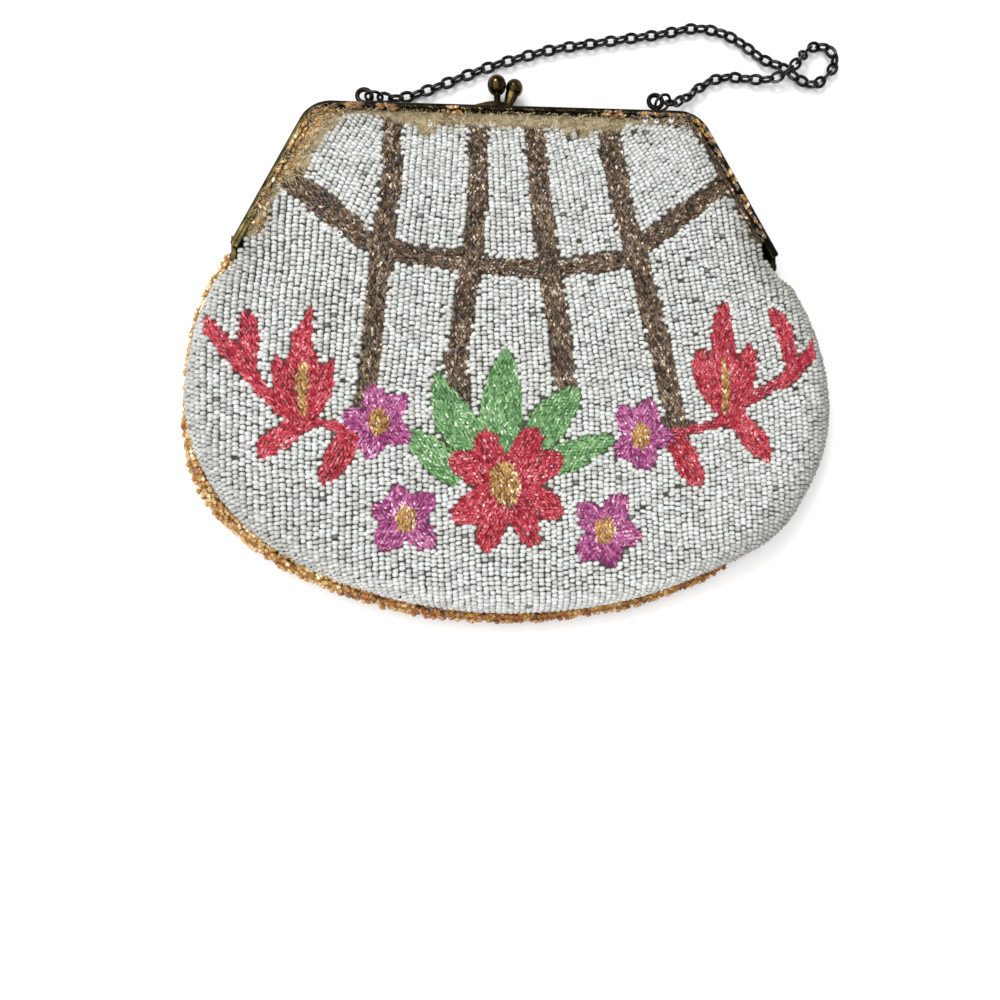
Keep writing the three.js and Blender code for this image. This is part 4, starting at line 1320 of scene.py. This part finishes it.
# Each half: direction from the parting plane, inner face of its lugs, top of their webs, and chain eye
FRAME_HALVES = {"front": (1, 72.0, 42.8, EYE_RIGHT), "back": (-1, 70.7, 43.6, EYE_LEFT)}
RIVET = [
    (0.3, 69.6), (1.2, 69.65), (1.5, 69.9), (1.5, 70.4), (0.75, 70.4), (0.75, 73.3), (1.5, 73.3),
    (1.4, 73.65),
    (1.05, 73.95), (0.5, 74.1), (0.05, 74.12),
]
RIVET_SIDES = 20


def frame_section():
    """Section of a frame half: distance in from its outer face, and away from the parting plane."""
    turns = np.linspace(0, math.pi / 2, EDGE_TURNS)
    edge = [(EDGE_RADIUS * (1 - math.cos(t)), FRAME_FACE - EDGE_RADIUS * (1 - math.sin(t))) for t in turns]
    bed = FLANGE_WIDTH - TWIST_WIDTH
    bed_face = FRAME_FACE - TWIST_BED
    under = FRAME_FACE - FLANGE_THICKNESS
    return [
        (0, FRAME_BASE), *OUTER_GROOVE, *edge, (bed, FRAME_FACE), (bed + BED_SLOPE, bed_face),
        (FLANGE_WIDTH - BED_CHAMFER, bed_face), (FLANGE_WIDTH, bed_face - BED_CHAMFER), (FLANGE_WIDTH, under),
        (FRAME_WALL, under), (FRAME_WALL, FRAME_BASE),
    ]


def rounded_end(place, outward, turn):
    """Stations past an end of the frame: places, outward directions, and how far the rounding cuts in."""
    past_end = turn * np.array([outward[1], -outward[0]])
    stations = []
    for far in END_STEPS:
        cut = END_RADIUS - math.sqrt(END_RADIUS**2 - far**2)
        stations.append((place + far * past_end, outward, cut))
    return stations


def frame_bar(direction):
    right_end = rounded_end(STATIONS[0], STATIONS_OUT[0], 1)
    left_end = rounded_end(STATIONS[-1], STATIONS_OUT[-1], -1)
    between = [(place, outward, 0.0) for place, outward in zip(STATIONS, STATIONS_OUT)]
    rings = []
    for place, outward, cut in [*reversed(right_end), *between, *left_end]:
        ring = []
        for inset, far in frame_section():
            x, y = place - outward * max(inset, cut)
            ring.append((x, y, PARTING_Z + direction * far))
        rings.append(ring[::direction])
    return loft(rings)


def hinge_lug(inner_x, direction, web_top):
    """A lug round the hinge pin with a web up to its half of the frame."""
    turns = np.linspace(math.pi / 2, math.pi * 1.5, LUG_SIDES)
    outline = [(LUG_RADIUS * math.cos(t), LUG_RADIUS * math.sin(t)) for t in turns]
    web_up = web_top - HINGE_Y
    web = [LUG_HEEL, (LUG_RADIUS, FRAME_BASE), (web_up, FRAME_BASE), (web_up, WEB_FAR)]
    outline = np.array([*outline, *web])
    rings = []
    for x, grow in (
        (0, -LUG_CHAMFER), (LUG_CHAMFER, 0), (LUG_THICKNESS - LUG_CHAMFER, 0), (LUG_THICKNESS, -LUG_CHAMFER),
    ):
        up, far = outline.T * (1 + grow / LUG_RADIUS)
        at_x = np.full(len(up), inner_x + x)
        rings.append(np.column_stack([at_x, HINGE_Y + up, PARTING_Z + direction * far]))
    return loft(rings)


def frame_half(direction, inner_x, web_top):
    lugs = [hinge_lug(x, direction, web_top) for x in (inner_x + PULL, -inner_x - LUG_THICKNESS)]
    return merged([frame_bar(direction), *lugs])


def ring_path(radius, steps):
    turns = np.arange(steps) * TURN / steps
    return np.stack([radius * np.cos(turns), radius * np.sin(turns), np.zeros(steps)], 1)


def chain_eye(centre):
    ring = tube(ring_path(EYE_RADIUS, EYE_STEPS) + centre, EYE_WIRE, RING_SIDES, closed=True)
    return merged([ring, turned(EYE_FOOT, (centre[0], FOOT_Y, centre[2]), (0, 1, 0), FOOT_SIDES)])


def twist_moulding():
    """Two strands twisted together along the inner edge of the top bar's flange."""
    x = np.arange(-TOP_HALF, TOP_HALF, TWIST_STEP)
    middle_y = FRAME_CORNER[1] + top_rise(x) - FLANGE_WIDTH + TWIST_WIDTH / 2
    across, up = TWIST_SWING
    strands = []
    for phase in (0, math.pi):
        turn = x * TURN / TWIST_PITCH + phase
        z = PARTING_Z + FRAME_FACE + TWIST_LIFT + up * np.sin(turn)
        path = np.column_stack([x, middle_y + across * np.cos(turn), z])
        strands.append(tube(path, TWIST_WIRE, TWIST_SIDES))
    return merged(strands)


for name, (direction, inner_x, web_top, eye) in FRAME_HALVES.items():
    metal = frame_half(direction, inner_x, web_top)
    add_piece(f"frame_{name}_metal", metal, FRAME_BRASS, f"frame_{name}")
    add_piece(f"frame_{name}_eye", chain_eye(eye), EYE_BRASS)
add_piece("frame_front_twist", twist_moulding(), TWIST_BRASS)
for name, side, hinge_x in (("left", -1, 0), ("right", 1, PULL)):
    rivet = turned(RIVET, (hinge_x, HINGE_Y, PARTING_Z), (side, 0, 0), RIVET_SIDES)
    add_piece(f"rivet_{name}", rivet, FRAME_BRASS, f"hinge_rivet_{name}", sharp_degrees=50)


# The kiss clasp

KNOB_SIDES = 28
TOP_Y = FRAME_CORNER[1] + TOP_RISE / 2
POLE = 0.02  # a small angle left at a ball's poles
FRONT_FOOT = (-2.8, 5.7)  # x and z
FRONT_COLLAR = 1.2
FRONT_NECK = (0.95, 81.2)
FRONT_BALL_Y = 88.7
FRONT_BALL_RADIUS = 2.6
FRONT_BALL_STEPS = 18
FRONT_BALL_LENGTH = 3.0  # how far down the ball's lower half would reach without its neck
BACK_FOOT = (0.2, 3.5)
BACK_COLLAR = 1.1
BACK_BALL = np.array([2.2, 88.4, 5.0])
BACK_BALL_RADIUS = 2.4
BACK_BALL_STEPS = 20
STEM_START = 1
STEM_BEND_Y = 84.3
STEM_RADII = (1.0, 2.2)
STEM_FLARE = 1.4
STEM_STEPS = 14
STEM_SIDES = 14
LEAF_ENDS = (-7.0, 4.6)
LEAF_BULGES = (-2.4, 4.4)
LEAF_STEPS = 13
LEAF_LAYERS = [(0.3, 1.0), (1.3, 1.0), (1.7, 0.88), (2.0, 0.55)]  # height and scale


def knob_tail(x, z, collar):
    profile = [
        (0.1, -1.9), (0.9, -1.9), (0.9, -1.3), (0.45, -1.3), (0.45, 0.3), (collar, 0.3), (collar, 1.35),
        (collar - 0.25, 1.6), (0.1, 1.6),
    ]
    return turned(profile, (x, TOP_Y, z), (0, 1, 0), KNOB_SIDES)


def leaf_plate(x, z):
    """A leaf with a raised middle, flat on the top bar."""
    shares = np.linspace(0, 1, LEAF_STEPS)[:, None]
    left, right = (np.array([end, 0.0]) for end in LEAF_ENDS)
    lower, upper = (bent(left, np.array([0, bulge]), right, shares) for bulge in LEAF_BULGES)
    outline = np.vstack([lower, upper[-2:0:-1]])
    rings = []
    for height, scale in LEAF_LAYERS:
        across, up = (outline * scale).T
        rings.append(np.column_stack([x + across, np.full(len(up), TOP_Y + height), z + up]))
    return loft(rings)


def front_knob():
    x, z = FRONT_FOOT
    neck = math.acos(FRONT_NECK[0] / FRONT_BALL_RADIUS)
    profile = [FRONT_NECK]
    for turn in np.linspace(-neck, math.pi / 2 - POLE, FRONT_BALL_STEPS):
        reach = FRONT_BALL_LENGTH if turn < 0 else FRONT_BALL_RADIUS
        profile.append((FRONT_BALL_RADIUS * math.cos(turn), FRONT_BALL_Y + reach * math.sin(turn)))
    ball = turned(profile, (x, 0, z), (0, 1, 0), KNOB_SIDES)
    return merged([knob_tail(x, z, FRONT_COLLAR), leaf_plate(x, z), ball])


def back_knob():
    x, z = BACK_FOOT
    bend = np.array([x, STEM_BEND_Y, z])
    shares = np.linspace(0, 1, STEM_STEPS)[:, None]
    stem = bent(np.array([x, TOP_Y + STEM_START, z]), bend, BACK_BALL, shares)
    turns = np.linspace(POLE - math.pi / 2, math.pi / 2 - POLE, BACK_BALL_STEPS)
    profile = [(BACK_BALL_RADIUS * math.cos(t), BACK_BALL_RADIUS * math.sin(t)) for t in turns]
    ball = turned(profile, BACK_BALL, BACK_BALL - bend, KNOB_SIDES)
    stem_radius = lerp(*STEM_RADII, shares[:, 0] ** STEM_FLARE)
    return merged([knob_tail(x, z, BACK_COLLAR), tube(stem, stem_radius, STEM_SIDES), ball])


add_piece("clasp_front", front_knob(), CLASP_BRASS, "clasp_knob_front")
add_piece("clasp_back", back_knob(), CLASP_BRASS, "clasp_knob_back")


# Jump rings and chain

LEFT_PULL = unit((1, -0.02, -0.02))
RIGHT_PULL = unit((0.93, 0.12, -0.32))
JUMP_RADIUS = 2.3
JUMP_WIRE = 0.4
JUMP_REACH = 2.55
JUMP_STEPS = 36
CHAIN_REACH = 3.9
RIGHT_TILT = 32
RIGHT_TILT_LINKS = (60, 68)
LINK_TILT = 6
LINK_COUNT = 69
LINK_BEND = 1.25
LINK_WIRE = 0.47
LINK_CONTACT = 0.3
LINK_STEPS = 20
LINK_SIDES = 8
TABLE_Z = 1.75
# The chain's course from the left, as x, y and z. Places without a z lie on the table.
CHAIN_ROUTE = [
    (-30.4, 85.6, 2.3), (-26.5, 86.8), (-16.7, 91), (-6.2, 95.8), (4, 99.7), (15, 103.2), (25.7, 105.4),
    (36.3, 107.6), (47, 109.7), (57.5, 112.2), (66, 110.9), (72, 107.6), (77.5, 103.4), (83, 101.6),
    (88, 98), (93, 96),
    (97, 99), (100.6, 103.6), (98.8, 108), (94, 108.6), (90.2, 105.4, 2.7), (86, 100.2, 5.4), (81, 97, 3),
    (74.5, 96.9), (66.8, 97.3), (61.2, 95.9), (56.4, 92.6, 2.2), (51.2, 88.1, 3.6),
]


def wire_axes(along, roll):
    """Directions along a ring or link, across it in its own plane, and out of that plane."""
    side = unit(np.cross((0, 0, 1), along))
    upright = np.cross(along, side)
    across = side * math.cos(roll) + upright * math.sin(roll)
    return np.stack([along, across, np.cross(along, across)])


def jump_ring(eye, pull, tilt):
    axes = wire_axes(pull, math.pi / 2 - math.radians(tilt))
    path = ring_path(JUMP_RADIUS, JUMP_STEPS) @ axes + eye + pull * JUMP_REACH
    return tube(path, JUMP_WIRE, RING_SIDES, closed=True)


def chain_links():
    course = [(*place, TABLE_Z)[:3] for place in CHAIN_ROUTE]
    route = spline([EYE_LEFT + LEFT_PULL * CHAIN_REACH, *course, EYE_RIGHT + RIGHT_PULL * CHAIN_REACH])
    joints = evenly(route, LINK_COUNT + 1)
    links = []
    for i, (start, end) in enumerate(zip(joints, joints[1:])):
        pitch = np.linalg.norm(end - start)
        along = unit(end - start)
        tilt = lerp(LINK_TILT * along[0], RIGHT_TILT, rising(i, RIGHT_TILT_LINKS))
        axes = wire_axes(along, math.radians(i % 2 * 90 + tilt))
        path = ring_path(LINK_BEND, LINK_STEPS)
        path[:, 0] *= (pitch / 2 + LINK_CONTACT) / LINK_BEND
        links.append(tube(path @ axes + (start + end) / 2, LINK_WIRE, LINK_SIDES, closed=True))
    return merged(links)


for name, eye, pull, tilt in (("left", EYE_LEFT, LEFT_PULL, 0), ("right", EYE_RIGHT, RIGHT_PULL, RIGHT_TILT)):
    add_piece(f"ring_{name}", jump_ring(eye, pull, tilt), GUNMETAL, f"jump_ring_{name}")
add_piece("chain_links", chain_links(), GUNMETAL, "chain")


# Frayed threads of the bare cloth under the frame

THREAD_COUNT = 1400
THREAD_TRIES = 60000
THREAD_BOX = [(-67, 43), (60, 80.5)]
THREAD_STEPS = np.linspace(0, 1, 6)
THREAD_BEND = 0.5
THREAD_LENGTHS = (1.0, 3.2)
THREAD_ARCH = 0.15 + 0.5 * np.sin(math.pi * THREAD_STEPS)
THREAD_WIRE = 0.065
THREAD_SIDES = 3
THREAD_ROOM = 0.1
BARE_MARGIN = 0.4
TOP_BAR_X = 44
TOP_BAR_INSET = FLANGE_WIDTH + 0.2
SLOPE_INSET = 1.3


def frayed_threads():
    spread = RNG.uniform(*THREAD_BOX, (THREAD_TRIES, 2))
    least = np.where(np.abs(spread[:, 0]) < TOP_BAR_X, TOP_BAR_INSET, SLOPE_INSET)
    bare = spread[(above_top(spread) > -BARE_MARGIN) & (frame_inset(spread) > least)]
    threads = []
    for start in bare[:THREAD_COUNT]:
        headings = RNG.uniform(0, TURN) + RNG.normal(0, THREAD_BEND) * THREAD_STEPS
        steps = np.cumsum(np.stack([np.cos(headings), np.sin(headings)], 1), 0)
        flat = start + steps * RNG.uniform(*THREAD_LENGTHS) / len(THREAD_STEPS)
        path, *_ = sewn(FRONT, flat, upward(len(flat)), -THREAD_ARCH)
        threads.append(tube(over_frame(path, THREAD_ROOM), THREAD_WIRE, THREAD_SIDES))
    return merged(threads)


add_piece("frayed_threads", frayed_threads(), THREAD)


# Floor, light and camera

FLOOR_HALF = 2.0
FLOOR_Z = -0.0002
CAMERA_PLACE = np.array([-31.8389, -49.94, 207.3377]) * MM
CAMERA_AXES = [(0.9917, -0.0343, 0.1237), (0.0198, 0.9929, 0.1171), (-0.1268, -0.1137, 0.9854)]
CAMERA_LENS = 28.44
SENSOR_WIDTH = 36
NEAREST = 0.01
WORLD_STRENGTH = 0.42


def set_up(name, data, axes, place):
    """A lamp or camera at a place in metres, with its right, up and back directions."""
    holder = bpy.data.objects.new(name, data)
    holder.matrix_world = Matrix([*((*row, at) for row, at in zip(np.stack(axes, 1), place)), (0, 0, 0, 1)])
    bpy.context.scene.collection.objects.link(holder)
    return holder


def add_floor():
    mesh = bpy.data.meshes.new("floor")
    corners = [(-1, -1), (1, -1), (1, 1), (-1, 1)]
    mesh.from_pydata([(x * FLOOR_HALF, y * FLOOR_HALF, 0) for x, y in corners], [], [(0, 1, 2, 3)])
    material, *_ = new_material("white_floor", Base_Color=(0.9, 0.9, 0.9, 1), Roughness=0.8)
    mesh.materials.append(material)
    floor = bpy.data.objects.new("floor", mesh)
    floor.location.z = FLOOR_Z
    bpy.context.scene.collection.objects.link(floor)


def add_light(name, place, size, power):
    """A square lamp that faces the origin."""
    light = bpy.data.lights.new(name, "AREA")
    light.size = size
    light.energy = power
    back = unit(place)
    right = unit(np.cross((0, 1, 0), back))
    set_up(name, light, [right, np.cross(back, right), back], place)


def add_camera():
    camera = bpy.data.cameras.new("camera")
    camera.sensor_width = SENSOR_WIDTH
    camera.lens = CAMERA_LENS
    camera.clip_start = NEAREST
    bpy.context.scene.camera = set_up("camera", camera, CAMERA_AXES, CAMERA_PLACE)


add_floor()
add_light("overhead", (-0.4, -0.25, 0.95), 1.3, 13.0)
add_light("key", (-0.3, 0.45, 0.75), 0.25, 3.0)
add_camera()
world = bpy.data.worlds.new("world")
world.use_nodes = True
feed(world.node_tree.nodes["Background"], Color=(1, 1, 1, 1), Strength=WORLD_STRENGTH)
bpy.context.scene.world = world
bpy.context.scene.view_settings.view_transform = "Standard"
